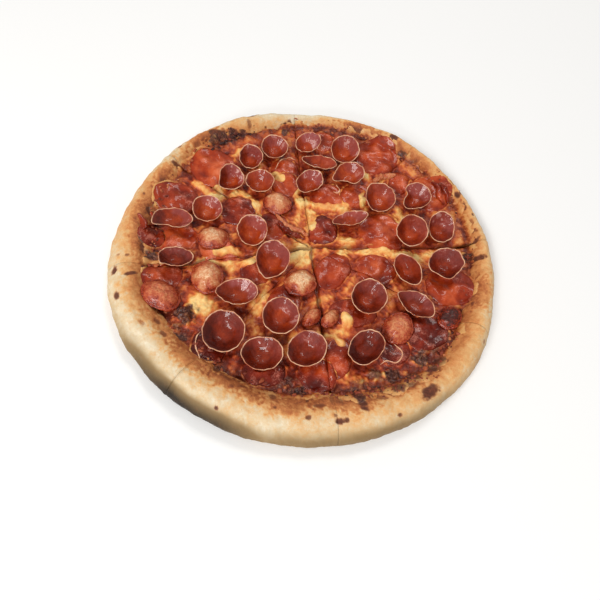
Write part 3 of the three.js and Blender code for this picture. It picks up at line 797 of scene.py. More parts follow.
def crust_marks(x, y, z):
    """Burnt and golden places of the crust, from 0 to 1."""
    around = direction_of(x, y)
    steps = np.hypot(np.diff(np.hypot(x, y), axis=1), np.diff(z, axis=1))
    outward = np.concatenate((np.zeros((CRUST_RAYS, 1)), np.cumsum(steps, axis=1)), axis=1) - HIDDEN_ARC
    along = np.radians(around) * RIM_MIDDLE

    def offset(direction, arc):
        return np.radians(apart(around, direction)) * RIM_MIDDLE, outward - arc

    burn_grain, gold_grain = (rough(along, outward, 0, 3.5, 3, seed) for seed in (60, 61))
    return (patch_mask(CRUST_BURNS + scorch_marks(), offset, 0.16 * burn_grain, 1.15),
            patch_mask(CRUST_GOLD, offset, 0.5 * gold_grain, 1.15))


def rim_rays(index):
    """Section of the rim, and tip, directions and points of the rays that make up a slice's crust."""
    start, end, tip = slice_frame(index, CRUST_CUT)
    degrees = np.linspace(start, end, CRUST_RAYS)
    section = through_points(RIM_SECTION, CRUST_STATIONS)
    section[:, 1] = np.maximum(section[:, 1], 0)
    x, y = np.empty((2, CRUST_RAYS, CRUST_STATIONS))
    for k, share in enumerate(section[:, 0]):
        x[:, k], y[:, k] = along_rays(
            tip, degrees, lambda a, s=share: topping_radius(a) + s * (crust_radius(a) - topping_radius(a)))
    z = section[:, 1] * rim_height(direction_of(x, y))
    z[:, 0] = BASE_THICKNESS
    return section, tip, degrees, x, y, z


def pushed_out(section, degrees, x, y, z, push):
    """The rim's points, each moved by push mm along the normal of the section."""
    across, rise = np.gradient(section[:, 0]) * RIM_WIDTH, np.gradient(section[:, 1]) * RIM_HEIGHT
    length = np.hypot(across, rise)
    cos, sin = unit(degrees[:, None])
    return (x - push * rise / length * cos, y - push * rise / length * sin,
            np.maximum(z + push * across / length, 0))


def crust_slice(index, material):
    section, tip, degrees, x, y, z = rim_rays(index)
    around = direction_of(x, y)
    burnt, golden = crust_marks(x, y, z)
    cut = cut_marks(x, y, CRUST_CUT_SHOWS, 1.2)
    seen = smoothstep(0, 4, z) * smoothstep(0, 6, np.arange(CRUST_STATIONS))
    push = (crust_relief(x, y, z) - 0.5 * burnt - 0.9 * cut) * seen
    x, y, z = pushed_out(section, degrees, x, y, z, push)
    points, faces = wedge(np.stack((x, y, z), axis=-1), (*tip, BASE_THICKNESS), (*tip, 0))
    outer = np.maximum.accumulate(section[:, 0]) + 0.03 * noise(x, y, z, 30, 62)
    fields = {
        "burnt": burnt, "golden": golden, "cut": cut,
        "toast": by_direction(TOAST_BY_DIRECTION, around) + 0.35 * smoothstep(0.8, 0.02, section[:, 0]),
        "under": by_direction(UNDERSIDE_BAKE_AND_SHADE_BY_DIRECTION, around) * smoothstep(0.58, 1.02, outer),
    }
    attributes = {key: with_zeros(field) for key, field in fields.items()}
    piece = build_mesh(f"baked_crust_{index + 1}", points, faces, material, attributes, 2)
    return place(piece, "crust", f"crust_{index + 1}")


# ---------------- cheese
CHEESE_RAYS, CHEESE_STATIONS = 132, 160
CHEESE_BOTTOM = BASE_THICKNESS + 0.2

# Burnt cheese: x, y, half length, half width, turn, strength.
CHEESE_BURNS = [
    (-101, 128, 10, 8, 10, 1), (-106, 119, 9, 6, 0, 1), (-114, 121, 12, 8, -30, 1),
    (-118, 112, 7, 6, 0, 0.9), (-91, 133, 6, 5, 0, 0.9), (-122, 127, 6, 5, 0, 0.9),
    (-92, -83, 11, 8, 20, 1), (-89, -90, 6, 5, 0, 0.9), (-95, -97, 5, 4, 0, 0.7),
    (-90, -105, 8, 4, 0, 0.9), (-47, 146, 5, 6, 0, 1), (83, 144, 8, 4, 0, 0.9), (-136, -35, 7, 5, 0, 1),
    (-147, -26, 6, 9, 0, 0.85), (-154, 14, 6, 8, 0, 0.8), (-152, -9, 6, 9, 0, 0.6),
    (13, -133, 10, 5, 0, 1), (2, -128, 12, 7, 0, 0.7), (-7, -141, 5, 5, 0, 0.7),
    (73, -107, 8, 6, 0, 0.85), (87, -105, 8, 9, 0, 1), (104, -104, 6, 6, 0, 0.8),
    (110, -87, 10, 8, 40, 0.95), (120, -76, 10, 6, 40, 0.8), (131, -60, 8, 7, 0, 0.85),
    (62, -118, 10, 6, 0, 0.6), (-55, -127, 6, 6, 0, 0.8), (153, 27, 8, 5, 0, 1), (142, 102, 5, 4, 0, 0.9),
    (97, 137, 6, 4, 0, 0.6), (44, -139, 12, 4, 0, 0.7), (60, -130, 12, 5, -62, 1),
    (76, -120, 8, 5, 30, 0.8), (92, -117, 7, 5, 40, 0.8), (103, -112, 8, 4, 40, 0.7),
    (118, -96, 8, 5, 50, 0.9), (126, -86, 7, 4, 50, 0.8), (139, -66, 6, 4, 60, 0.7),
    (-69, -64, 4, 4, 0, 0.6), (44, -90, 10, 3, 70, 0.5),
]
# Pale cheese between the slices, with the same numbers.
CHEESE_PATCHES = [
    (-70, -18, 14, 8, 0, 1), (0, -2, 13, 8, 60, 1), (-5, 42, 12, 8, 100, 1), (72, 14, 24, 6, 10, 1),
    (115, 14, 12, 8, 10, 1), (85, 60, 12, 9, 40, 1), (-88, 50, 32, 6, 150, 1), (-62, 47, 10, 7, 0, 1),
    (-82, -72, 12, 12, 0, 1), (-35, -65, 9, 9, 60, 1), (38, -78, 8, 7, 0, 0.9), (50, -112, 10, 8, 0, 0.8),
    (25, 55, 16, 8, 0, 0.8), (-60, 85, 12, 6, 150, 0.8), (22, 18, 20, 6, 20, 0.8),
    (-130, -33, 20, 5, 20, 0.8), (30, 80, 10, 8, 60, 0.7), (-10, 55, 8, 10, 0, 0.7),
]

# How much browner the cheese is at the border, in each direction.
BROWN_BY_DIRECTION = [
    (0, 0.1), (45, -0.06), (90, 0.2), (135, 0.2), (180, 0.14), (225, 0.24), (270, 0.3), (315, 0.06),
    (360, 0.1),
]


def cheese_mask(x, y, patches, seed):
    """How strongly patches given in mm mark the cheese."""
    return patch_mask(patches, lambda px, py: (x - px, y - py), 0.3 * rough(x, y, 0, 6, 3, seed), 1.2)


def cheese_rays(index, top):
    """Tip of a slice's cheese, and rays of points that end under its thin edge."""
    start, end, tip = slice_frame(index, CHEESE_CUT)
    degrees = np.linspace(start, end, CHEESE_RAYS)
    ex, ey = along_rays(tip, degrees, cheese_reach)
    share = np.arange(1, CHEESE_STATIONS + 1) / CHEESE_STATIONS
    x = tip[0] + (ex - tip[0])[:, None] * share
    y = tip[1] + (ey - tip[1])[:, None] * share
    z = top.beside_cuts(index, x, y, sample(top.cheese, x, y), CHEESE_CUT_DEPTH)
    z = np.maximum(z, BASE_THICKNESS + 0.6)
    z[:, -1] = np.maximum(crust_height(ex, ey) - 3.6, 3)
    ux, uy = along_rays(tip, degrees, lambda a: topping_radius(a) - 4)
    under = np.stack((ux, uy, np.full(CHEESE_RAYS, CHEESE_BOTTOM)), axis=-1)
    return tip, np.concatenate((np.stack((x, y, z), axis=-1), under[:, None]), axis=1)


def cheese_slice(index, top, material):
    tip, grid = cheese_rays(index, top)
    points, faces = wedge(grid, (*tip, float(sample(top.cheese, *tip))), (*tip, CHEESE_BOTTOM))
    x, y = points[:, 0], points[:, 1]
    past = past_topping(x, y)
    brown = by_direction(BROWN_BY_DIRECTION, direction_of(x, y)) * smoothstep(-36, -8, past)
    attributes = {
        "past": past,
        "brown": brown * smoothstep(4, -6, past) - 0.06 * smoothstep(-6, 4, past),
        "burnt": cheese_mask(x, y, CHEESE_BURNS, 80),
        "cream": np.maximum(cheese_mask(x, y, CHEESE_PATCHES, 90), sample(top.cream, x, y)),
        "oil_and_shade": smoothstep(10, 0, sample(top.nearest, x, y)),
        "ridge": sample(top.ridges, x, y),
        "cut": cut_marks(x, y, TOPPING_CUT_SHOWS, 1.6),
    }
    piece = build_mesh(f"melted_cheese_{index + 1}", points, faces, material, attributes, 2)
    return place(piece, "cheese", f"cheese_{index + 1}")


# Crumbs along the border: direction of the middle, spread in degrees, how many, how dark.
CRUMB_ZONES = [
    (130, 5, 70, 0.95), (150, 9, 30, 0.45), (177, 7, 45, 0.55), (192, 6, 25, 0.65), (212, 8, 12, 0.5),
    (228, 6, 22, 0.65), (250, 8, 16, 0.55), (268, 6, 30, 0.7), (288, 9, 60, 0.6), (304, 8, 110, 0.7),
    (322, 7, 45, 0.65), (340, 8, 20, 0.45), (8, 7, 25, 0.65), (32, 9, 45, 0.55), (60, 10, 45, 0.5),
    (98, 10, 25, 0.45),
]

# ---------------- pepperoni
CUP_FLOOR = 0.38  # radius of the flat floor as a share of the mouth
CUP_LIP = 0.3  # radius of the rounded edge
CUP_SINKS, DOME_SINKS = 0.5, 0.6  # how far they stand below their CAD nodes
CUP_SIDES, DOME_SIDES, SLICE_SIDES = 84, 88, 90
LIP_STATIONS, LIP_SIDES = 36, 14
# Up the edge of a dome to where its arch begins: share of the radius, share of the height.
DOME_EDGE = [(0.2, 0), (0.55, 0), (0.85, 0), (0.97, 0.02), (1.0, 0.07), (0.985, 0.13), (0.95, 0.22)]
# From under a thin slice round its edge: share of the radius, mm below the upper side.
SLICE_EDGE = [(0.3, 1.7), (0.7, 1.7), (0.97, 1.6), (1.0, 1.1), (1.0, 0.35), (0.975, 0)]
PAINTED_SHEEN_DIRECTION = 55  # the side of the cups whose wall gets a painted pale purplish sheen, a painted reflection


def cup_mouth(number):
    """Radius of a cup's mouth in each direction, and how far its edge stands up there."""
    long, short, turn = CUPS[number][2:5]
    angles, seed = round_angles(CUP_SIDES), CUP_SEED + number
    cos, sin = unit(angles)
    radius = outline(long, short, turn, angles, seed, 0.03)
    lift = 0.5 * np.sin(np.radians(2 * (angles - turn))) + 0.6 * rough(2.2 * cos, 2.2 * sin, 0.3, 1, 2, seed)
    for at, pull, spread, up in CUP_PULLS.get(number, []):
        near = np.exp(-((apart(angles, at) / spread) ** 2))
        radius, lift = radius * (1 + pull * near), lift + up * near
    return radius, lift


def cup_rings(number):
    """Rings of a cup, up its outside, over its lip and down inside: radius, height, whether on the lip."""
    _, _, long, short, _, _, _, depth, _, _ = CUPS[number]
    mean = (long + short) / 4
    radius, lift = cup_mouth(number)
    down = np.concatenate(([0, 0.015], np.linspace(0.07, 1, 15)))
    heights = smooth_max((1 - down - CUP_FLOOR) / (1 - CUP_FLOOR), 0 * down, 0.3) - 1
    wall = list(zip(1 - down, heights, down))[:-1]
    rings = [(radius * r, depth * h + lift * (1 - level) ** 1.5, level < 0.01) for r, h, level in wall[::-1]]
    for a in np.radians(np.linspace(20, 160, 6)):
        rings.append((radius - CUP_LIP + CUP_LIP * math.cos(a), CUP_LIP * math.sin(a) + lift, True))
    for r, h, level in wall:
        thick = 2 * CUP_LIP + 1.1 * level**0.5
        inner = np.maximum(radius - thick, radius * (1 - thick / mean)) * r
        rings.append((inner, (depth - thick) * h + lift * (1 - level) ** 1.5, level < 0.01))
    return rings


def cup_points(number, seat):
    """Rings of points of a cup, and which of them belong to its lip."""
    x, y, _, _, _, lean, towards, *_ = CUPS[number]
    cos, sin = unit(round_angles(CUP_SIDES))
    rings = cup_rings(number)
    points = np.array([np.stack((r * cos, r * sin, z), axis=-1) for r, z, _ in rings])
    rims = np.repeat([[float(on_rim)] for *_, on_rim in rings], CUP_SIDES, axis=1)
    px, py, pz = np.moveaxis(points, -1, 0)
    ripple = 0.22 * rough(px + 40 * number, py, pz * 2, 4.5, 2, CUP_SEED + number)
    points[..., 0] += ripple * cos
    points[..., 1] += ripple * sin
    return seated(points, x, y, seat, lean, towards), rims


def cup(number, material):
    node = f"pepperoni_cup_{number:02d}"
    seat = bottom_of(node) - CUP_SINKS
    cx, cy, long, short, *_, paleness, painted_sheen_share = CUPS[number]
    rings, rims = cup_points(number, seat)
    points, faces = lathe(rings)
    x, y = points[:, 0] - cx, points[:, 1] - cy
    around = np.radians(direction_of(x, y) - PAINTED_SHEEN_DIRECTION + 30 * noise(number * 3.7, 0.5, 0, 1, 9))
    outwards = np.hypot(x, y) * 4 / (long + short)
    wall = smoothstep(0.42, 0.58, outwards + 0.08 * noise(x, y, number, 7, 10))
    # Painted light and shade: the wall turned away from the painted sheen is darkened and the floor made a
    # little paler.
    painted_shade_side = smoothstep(0.35, 0.9, outwards) * smoothstep(0.3, -0.7, np.cos(around))
    attributes = {
        "rim": with_poles(rims),
        # painted_sheen: a pale purplish reflection painted into the colour of one side of the wall
        "painted_sheen": wall * smoothstep(-0.1, 0.45, np.cos(around)) * painted_sheen_share,
        "level": (points[:, 2] - seat) / (rings[..., 2].max() - seat),
        "shade": paleness + 0.15 * smoothstep(0.6, 0.1, outwards) - 0.45 * painted_shade_side,
    }
    piece = build_mesh(f"curled_cup_{number:02d}", points, faces, material, attributes)
    return place(piece, "pepperoni", node)


def dome(number, material):
    node = f"pepperoni_dome_{number:02d}"
    x, y, long, short, turn, lean, towards, height, paleness = DOMES[number]
    angles, seed = round_angles(DOME_SIDES), DOME_SEED + number
    radius, (cos, sin) = outline(long, short, turn, angles, seed)[None, :], unit(angles)
    upper = np.linspace(0.9, 0.06, 22)
    arch = np.sqrt(1 - (0.97 * upper) ** 2.3)
    edge_shares, edge_heights = zip(*DOME_EDGE)
    shares = np.concatenate((edge_shares, upper))[:, None]
    heights = np.concatenate((edge_heights, 0.22 + 0.76 * (arch - arch[0]) / (1 - arch[0])))[:, None]
    rings = np.stack(
        np.broadcast_arrays(radius * shares * cos, radius * shares * sin, height * heights), axis=-1)
    top = (np.arange(len(shares)) > 4)[:, None]
    middle = smoothstep(1.05, 0.35, shares + 0.22 * rough(rings[..., 0], rings[..., 1], 0, 9, 2, seed)) * top
    grain = 0.4 * rough(rings[..., 0], rings[..., 1], seed, 4, 2, seed) * middle
    rings[..., 2] += (grain + 0.5 * noise(rings[..., 0], rings[..., 1], seed, 8, seed + 5)) * top
    points, faces = lathe(seated(rings, x, y, bottom_of(node) - DOME_SINKS, lean, towards))
    attributes = {"middle": with_poles(middle), "shade": np.full(len(points), paleness)}
    piece = build_mesh(f"domed_back_{number:02d}", points, faces, material, attributes)
    return place(piece, "browned_pepperoni", node)


def slice_mesh(name, shape, surface, folds, seed, material):
    """A thin slice that follows the surface it was laid on."""
    x, y, long, short, turn, paleness = shape
    angles = round_angles(SLICE_SIDES)
    radius, (cos, sin) = outline(long, short, turn, angles, seed)[None, :], unit(angles)
    edge_shares, edge_drops = zip(*SLICE_EDGE)
    shares = np.concatenate((edge_shares, np.linspace(0.94, 0.05, 20)))[:, None]
    drops = np.concatenate((edge_drops, np.zeros(20)))[:, None]
    rx, ry = x + radius * shares * cos, y + radius * shares * sin
    points, faces = lathe(np.stack((rx, ry, sample(surface, rx, ry) - drops), axis=-1))
    attributes = {
        "edge": with_zeros(np.repeat(shares, SLICE_SIDES, axis=1)),
        "fold": sample(folds, points[:, 0], points[:, 1]),
        "shade": np.full(len(points), paleness),
    }
    return build_mesh(name, points, faces, material, attributes)


def shift_beside_cuts(mesh, index, top):
    """Moves a part of a slice up or down with the topping beside the cuts, but not into a cup."""
    co = np.empty(len(mesh.vertices) * 3)
    mesh.vertices.foreach_get("co", co)
    x, y, z = (co / MM).reshape(-1, 3).T
    z = top.beside_cuts(index, x, y, z, PEPPERONI_CUT_DEPTH)
    mesh.vertices.foreach_set("co", (np.stack((x, y, z), axis=-1) * MM).ravel())


def lip(name, path, radius, squash, top, material, attributes):
    """A rolled edge that lies on the topping along a path of x, y places."""
    line = through_points(path, LIP_STATIONS)
    along = np.gradient(line, axis=0)
    along /= np.hypot(along[:, 0], along[:, 1])[:, None]
    taper = np.sqrt(np.clip(np.sin(np.linspace(0.12, math.pi - 0.12, LIP_STATIONS)), 0, 1)) * radius
    taper = taper * (1 + 0.35 * noise(line[:, 0], line[:, 1], 0, 5, 71))
    high = sample(np.minimum(top.z, top.ceiling), line[:, 0], line[:, 1]) + radius * squash * 0.5
    cos, sin = unit(round_angles(LIP_SIDES))
    rings = np.empty((LIP_STATIONS, LIP_SIDES, 3))
    rings[..., 0] = line[:, :1] - along[:, 1:] * np.outer(taper, cos)
    rings[..., 1] = line[:, 1:] + along[:, :1] * np.outer(taper, cos)
    rings[..., 2] = high[:, None] + squash * np.outer(taper, sin)
    points, faces = lathe(rings)
    values = {key: np.full(len(points), value) for key, value in attributes.items()}
    return place(build_mesh(name, points, faces, material, values), "pepperoni")


def crumb_ball():
    """Rings of points of a small ball."""
    levels = np.linspace(-0.92, 0.92, 6)[:, None]
    cos, sin = unit(round_angles(9))
    flat = np.sqrt(1 - levels**2)
    return np.stack(np.broadcast_arrays(flat * cos, flat * sin, levels), axis=-1)


def crumbs(top, material):
    """Crumbs of baked cheese and meat that stick along the border, all in one piece."""
    random, ball = np.random.default_rng(21), crumb_ball()
    surface = np.minimum(top.z, top.ceiling)
    points, faces, darks = [], [], []
    for middle, spread, count, darkness in CRUMB_ZONES:
        for _ in range(count):
            degrees, turn = random.normal(middle, spread), random.uniform(0, math.pi)
            past = max(-6.0, random.normal(-2, 4)) + 0.8 * bumps_at(BORDER_SWELLS, degrees)
            reach = topping_radius(degrees) + past
            x, y = reach * math.cos(math.radians(degrees)), reach * math.sin(math.radians(degrees))
            size = (0.4 + 1.5 * random.uniform() ** 2) * float(1 - 0.6 * smoothstep(0, 8, past))
            wide = ball * (size * random.uniform(1, 2.0), size, 0.6 * size)
            dents = noise(*np.moveaxis(ball, -1, 0) + 5.3 * len(points), 1.1, 92)
            wx, wy, wz = np.moveaxis(wide * (1 + 0.45 * dents[..., None]), -1, 0)
            cos, sin = math.cos(turn), math.sin(turn)
            lump = np.stack((wx * cos - wy * sin, wx * sin + wy * cos, wz), axis=-1)
            lump = lump + (x, y, float(sample(surface, x, y)) - 0.1 * size)
            corners, sides = lathe(lump)
            faces += [part + len(points) * len(corners) for part in sides]
            points.append(corners)
            darks.append(np.full(len(corners), darkness + random.normal(-0.05, 0.16)))
    piece = build_mesh("border_crumbs", np.vstack(points), faces, material, {"dark": np.concatenate(darks)})
    return place(piece, "cheese")


def cut_to_slices(piece, top):
    """Cuts a piece along every cut of the pizza that runs through it, and opens the cuts a little."""
    whole = bmesh.new()
    whole.from_mesh(piece.data)
    joined = bmesh.new()
    for index in range(SLICES):
        start, end, tip = slice_frame(index, CHEESE_CUT)
        part = whole.copy()
        for degrees, side in ((start, -1), (end, 1)):
            a = math.radians(degrees)
            normal = Vector((-math.sin(a), math.cos(a), 0)) * side
            geometry = part.verts[:] + part.edges[:] + part.faces[:]
            at = Vector((tip[0] * MM, tip[1] * MM, 0))
            bmesh.ops.bisect_plane(
                part, geom=geometry, plane_co=at, plane_no=normal, clear_outer=True, dist=1e-7)
            open_edges = [e for e in part.edges if e.is_boundary]
            if open_edges:
                bmesh.ops.holes_fill(part, edges=open_edges, sides=0)
        scrap = bpy.data.meshes.new("part")
        part.to_mesh(scrap)
        shift_beside_cuts(scrap, index, top)
        joined.from_mesh(scrap)
        bpy.data.meshes.remove(scrap)
        part.free()
    joined.to_mesh(piece.data)
    joined.free()
    whole.free()


# ---------------- materials
LIGHT_DEPTH = (0.0016, 0.0011, 0.0008)  # how far red, green and blue light go into the food, in metres


class Shader:
    """A small helper that adds and links the nodes of one material."""

    def __init__(self, name):
        self.material = bpy.data.materials.new(name)
        self.material.use_nodes = True
        self.tree = self.material.node_tree
        self.bsdf = self.tree.nodes["Principled BSDF"]
        self.place = self.tree.nodes.new("ShaderNodeTexCoord").outputs["Object"]

    def add(self, kind, *inputs, **settings):
        node = self.tree.nodes.new(kind)
        for key, value in settings.items():
            setattr(node, key, value)
        for key, value in inputs:
            self.set(node.inputs[key], value)
        return node

    def set(self, socket, value):
        if isinstance(value, bpy.types.NodeSocket):
            self.tree.links.new(value, socket)
        else:
            socket.default_value = value

    def attributes(self, *names):
        return [self.add("ShaderNodeAttribute", attribute_name=name).outputs["Fac"] for name in names]

    def noise(self, size, detail=3.0, roughness=0.55, distortion=0.0, shift=0.0):
        """Noise whose lumps are about size mm across."""
        where = self.add("ShaderNodeMapping", ("Vector", self.place), ("Location", (shift, shift, shift)))
        return self.add(
            "ShaderNodeTexNoise",
            ("Vector", where.outputs["Vector"]), ("Scale", 1 / (size * MM)), ("Detail", detail),
            ("Roughness", roughness), ("Distortion", distortion),
        ).outputs["Fac"]

    def ramp(self, factor, *stops):
        """A ramp whose stops are a place and a screen colour, or a place and a bare value."""
        node = self.add("ShaderNodeValToRGB", ("Fac", factor))
        elements = node.color_ramp.elements
        while len(elements) < len(stops):
            elements.new(0.5)
        for element, (at, *colour) in zip(elements, stops):
            element.position = at
            element.color = rgb(*colour) if len(colour) == 3 else (*colour * 3, 1)
        return node.outputs["Color"]

    def mix(self, factor, a, b, blend="MIX"):
        node = self.add("ShaderNodeMix", (0, factor), (6, a), (7, b), data_type="RGBA", blend_type=blend)
        return node.outputs[2]

    def math(self, operation, *values):
        return self.add("ShaderNodeMath", *enumerate(values), operation=operation).outputs[0]

    def times(self, a, b):
        return self.math("MULTIPLY", a, b)

    def plus(self, *terms):
        """A sum of sockets and of (socket, factor) pairs, the noise in each pair centred on zero."""
        total = 0.0
        for term in terms:
            if isinstance(term, tuple):
                total = self.math("MULTIPLY_ADD", self.math("SUBTRACT", term[0], 0.5), term[1], total)
            else:
                total = self.math("ADD", term, total)
        return total

    def step(self, value, low, high):
        node = self.add(
            "ShaderNodeMapRange", ("Value", value), ("From Min", low), ("From Max", high),
            interpolation_type="SMOOTHSTEP")
        return node.outputs["Result"]

    def bump(self, *layers):
        """Bump from (height, depth in mm) layers."""
        normal = None
        for height, depth in layers:
            node = self.add(
                "ShaderNodeBump", ("Height", height), ("Strength", 1.0), ("Distance", depth * MM))
            if normal is not None:
                self.set(node.inputs["Normal"], normal)
            normal = node.outputs["Normal"]
        return normal

    def finish(self, softness=0.0, **sockets):
        """Sets the shader's sockets; softness is how much light goes into the surface."""
        if softness:
            sockets.update(
                Subsurface_Weight=softness, Subsurface_Radius=LIGHT_DEPTH, Subsurface_Scale=1.0)
        for key, value in sockets.items():
            self.set(self.bsdf.inputs[key.replace("_", " ")], value)
        return self.material


def crust_material():
    s = Shader("baked_crust")
    burnt, golden, toast, under, cut = s.attributes("burnt", "golden", "toast", "under", "cut")
    wide, mid = s.noise(30, 3, 0.55), s.noise(9, 4, 0.6, 0.5, 3.0)
    small, fine = s.noise(3.2, 4, 0.62, 0.0, 5.0), s.noise(1.1, 4, 0.65, 0.0, 7.0)
    tone = s.plus(toast, s.times(golden, 0.46), (wide, 0.55), (mid, 0.6), (small, 0.42), (fine, 0.24))
    colour = s.ramp(
        tone,
        (0.0, 232, 217, 188), (0.2, 226, 199, 158), (0.4, 228, 175, 114),
        (0.6, 214, 142, 82), (0.8, 182, 104, 56), (1.0, 120, 62, 38),
    )
    flour = s.times(s.step(s.noise(6, 4, 0.65, 0, 9.0), 0.5, 0.7), s.step(tone, 0.34, 0.05))
    colour = s.mix(s.times(flour, 0.4), colour, rgb(250, 244, 228))
    freckles = s.times(s.step(s.noise(2.4, 3, 0.6, 0, 11.0), 0.66, 0.74), 0.35)
    colour = s.mix(freckles, colour, rgb(184, 114, 66))
    # Painted shade in the cut lines of the crust.
    colour = s.mix(s.times(cut, 0.3), colour, rgb(138, 92, 54))
    # The underside darkens towards the outer edge: partly browner bake, partly painted shade.
    dark = s.ramp(under, (0.1, 206, 178, 134), (0.5, 146, 118, 78), (1.0, 40, 28, 14))
    colour = s.mix(s.step(s.plus(under, (mid, 0.16)), 0.0, 0.55), colour, dark)
    char = s.ramp(s.plus(0.5, (small, 1.2), (fine, 0.8)), (0.2, 52, 26, 20), (0.8, 128, 68, 44))
    halo = s.step(s.plus(burnt, (small, 0.6)), 0.0, 0.6)
    colour = s.mix(s.times(halo, 0.6), colour, rgb(182, 106, 60))
    colour = s.mix(s.step(s.plus(burnt, (small, 0.4), (fine, 0.4)), 0.2, 1.0), colour, char)
    normal = s.bump((mid, 0.5), (small, 0.4), (fine, 0.2))
    return s.finish(0.08, Base_Color=colour, Roughness=0.62, Normal=normal, Specular_IOR_Level=0.3)


def cheese_material():
    s = Shader("melted_cheese")
    burnt, cream, past, oil_and_shade, cut, ridge, brown = s.attributes(
        "burnt", "cream", "past", "oil_and_shade", "cut", "ridge", "brown")
    mid, small, fine = s.noise(9, 3, 0.55, 0.6), s.noise(3, 3, 0.6, 0.4, 4.0), s.noise(0.9, 3, 0.6)
    # ridge makes raised cheese paler and low cheese darker: partly paler welled-up cheese, partly painted
    # light and shade.
    pale = s.plus(s.times(cream, 0.36), s.times(ridge, 0.32), s.times(brown, -1.0))
    # Near slices the cheese darkens: partly oil it took up, partly painted shade beside them.
    tone = s.plus(0.61, pale, s.times(oil_and_shade, -0.36), (mid, 0.75), (small, 0.22), (fine, 0.12))
    colour = s.ramp(
        tone,
        (0.0, 98, 26, 12), (0.2, 150, 50, 22), (0.4, 196, 90, 44),
        (0.58, 228, 134, 66), (0.78, 245, 179, 101), (1.0, 254, 214, 141),
    )
    specks = s.times(s.step(s.noise(2.6, 3, 0.6, 0.6, 8.0), 0.6, 0.7), s.step(tone, 1.0, 0.5))
    colour = s.mix(s.times(specks, 0.45), colour, rgb(128, 46, 22))
    baked = s.ramp(
        s.plus(0.52, pale, (mid, 1.3), (small, 0.7)),
        (0.1, 100, 38, 24), (0.36, 166, 80, 42), (0.62, 208, 130, 70),
        (0.9, 224, 166, 102),
    )
    colour = s.mix(s.step(past, -12.0, 0.0), colour, baked)
    char = s.ramp(
        s.plus(0.5, (small, 1.3), (fine, 1.0)),
        (0.15, 32, 19, 21), (0.5, 82, 44, 38), (0.88, 172, 112, 84))
    # Painted shade in the cut grooves of the cheese.
    colour = s.mix(s.times(cut, 0.75), colour, rgb(96, 38, 18))
    colour = s.mix(s.step(s.plus(burnt, (small, 0.9), (fine, 0.4)), 0.1, 1.0), colour, char)
    normal = s.bump((small, 0.5), (fine, 0.2))
    roughness = s.ramp(small, (0.3, 0.22), (0.7, 0.46))
    return s.finish(0.15, Base_Color=colour, Roughness=roughness, Normal=normal, Specular_IOR_Level=0.3)


def crumb_material():
    s = Shader("baked_crumbs")
    small = s.noise(1.6, 3, 0.6)
    colour = s.ramp(
        s.plus(*s.attributes("dark"), (small, 0.4)),
        (0.0, 228, 172, 116), (0.3, 192, 104, 62), (0.55, 146, 62, 40),
        (0.8, 100, 42, 32), (1.0, 58, 30, 28),
    )
    return s.finish(Base_Color=colour, Roughness=0.45, Normal=s.bump((small, 0.3)), Specular_IOR_Level=0.3)


def cup_material():
    s = Shader("curled_pepperoni")
    rim, level, shade, painted_sheen = s.attributes("rim", "level", "shade", "painted_sheen")
    mottle, small, fine = s.noise(8, 2, 0.5), s.noise(2.2, 3, 0.6, 0.0, 5.0), s.noise(0.9, 4, 0.7, 0.0, 2.0)
    meat = s.ramp(
        s.plus(0.5, s.times(shade, 0.55), (mottle, 0.8), (small, 0.2), (fine, 0.2)),
        (0.0, 72, 14, 4), (0.35, 126, 36, 10), (0.65, 166, 58, 18), (1.0, 204, 96, 46),
    )
    meat = s.mix(s.times(s.step(level, 0.45, 1.0), 0.4), meat, rgb(124, 44, 24))
    # Painted sheen: a pale purplish reflection laid on one side of the wall as colour.
    meat = s.mix(s.times(painted_sheen, 0.7), meat, rgb(164, 87, 86))
    # Painted glints: near-white specks laid on the painted sheen as colour, painted highlights.
    painted_glints = s.times(s.step(s.plus(small, (mottle, 1.2), (fine, 0.3)), 0.6, 0.74), s.step(painted_sheen, 0.1, 0.8))
    meat = s.mix(s.times(painted_glints, 0.65), meat, rgb(232, 190, 182))
    pale = s.ramp(
        s.plus(0.5, (mottle, 1.8), (fine, 0.6)), (0.15, 196, 112, 78), (0.7, 252, 200, 162))
    colour = s.mix(rim, meat, pale)
    roughness = s.ramp(
        s.plus(0.5, s.times(level, -0.3), (small, 1.2), (fine, 0.6)), (0.1, 0.26), (0.8, 0.5))
    normal = s.bump((fine, 0.15), (small, 0.6), (mottle, 0.8))
    return s.finish(
        0.06, Base_Color=colour, Roughness=roughness, Normal=normal, Specular_IOR_Level=0.15,
        Coat_Weight=0.35, Coat_Roughness=0.08)


def dome_material():
    s = Shader("browned_pepperoni")
    middle, shade = s.attributes("middle", "shade")
    mottle = s.noise(7, 3, 0.6)
    small, fine = s.noise(2.4, 4, 0.65, 0.0, 5.0), s.noise(1.1, 3, 0.7, 0.0, 2.0)
    tone = s.plus(
        s.times(middle, 0.48), s.times(s.times(shade, middle), 0.75), 0.23,
        (mottle, 0.4), (small, 0.85), (fine, 1.0))
    colour = s.ramp(
        tone,
        (0.0, 64, 18, 10), (0.2, 142, 42, 20), (0.42, 184, 78, 46),
        (0.62, 204, 116, 72), (0.82, 218, 148, 100), (1.0, 240, 198, 154),
    )
    normal = s.bump((fine, 0.35), (small, 0.6))
    roughness = s.ramp(s.plus(middle, (small, 0.6)), (0.1, 0.2), (0.9, 0.5))
    return s.finish(
        0.06, Base_Color=colour, Roughness=roughness, Normal=normal,
        Specular_IOR_Level=0.35, Coat_Weight=0.2, Coat_Roughness=0.1)


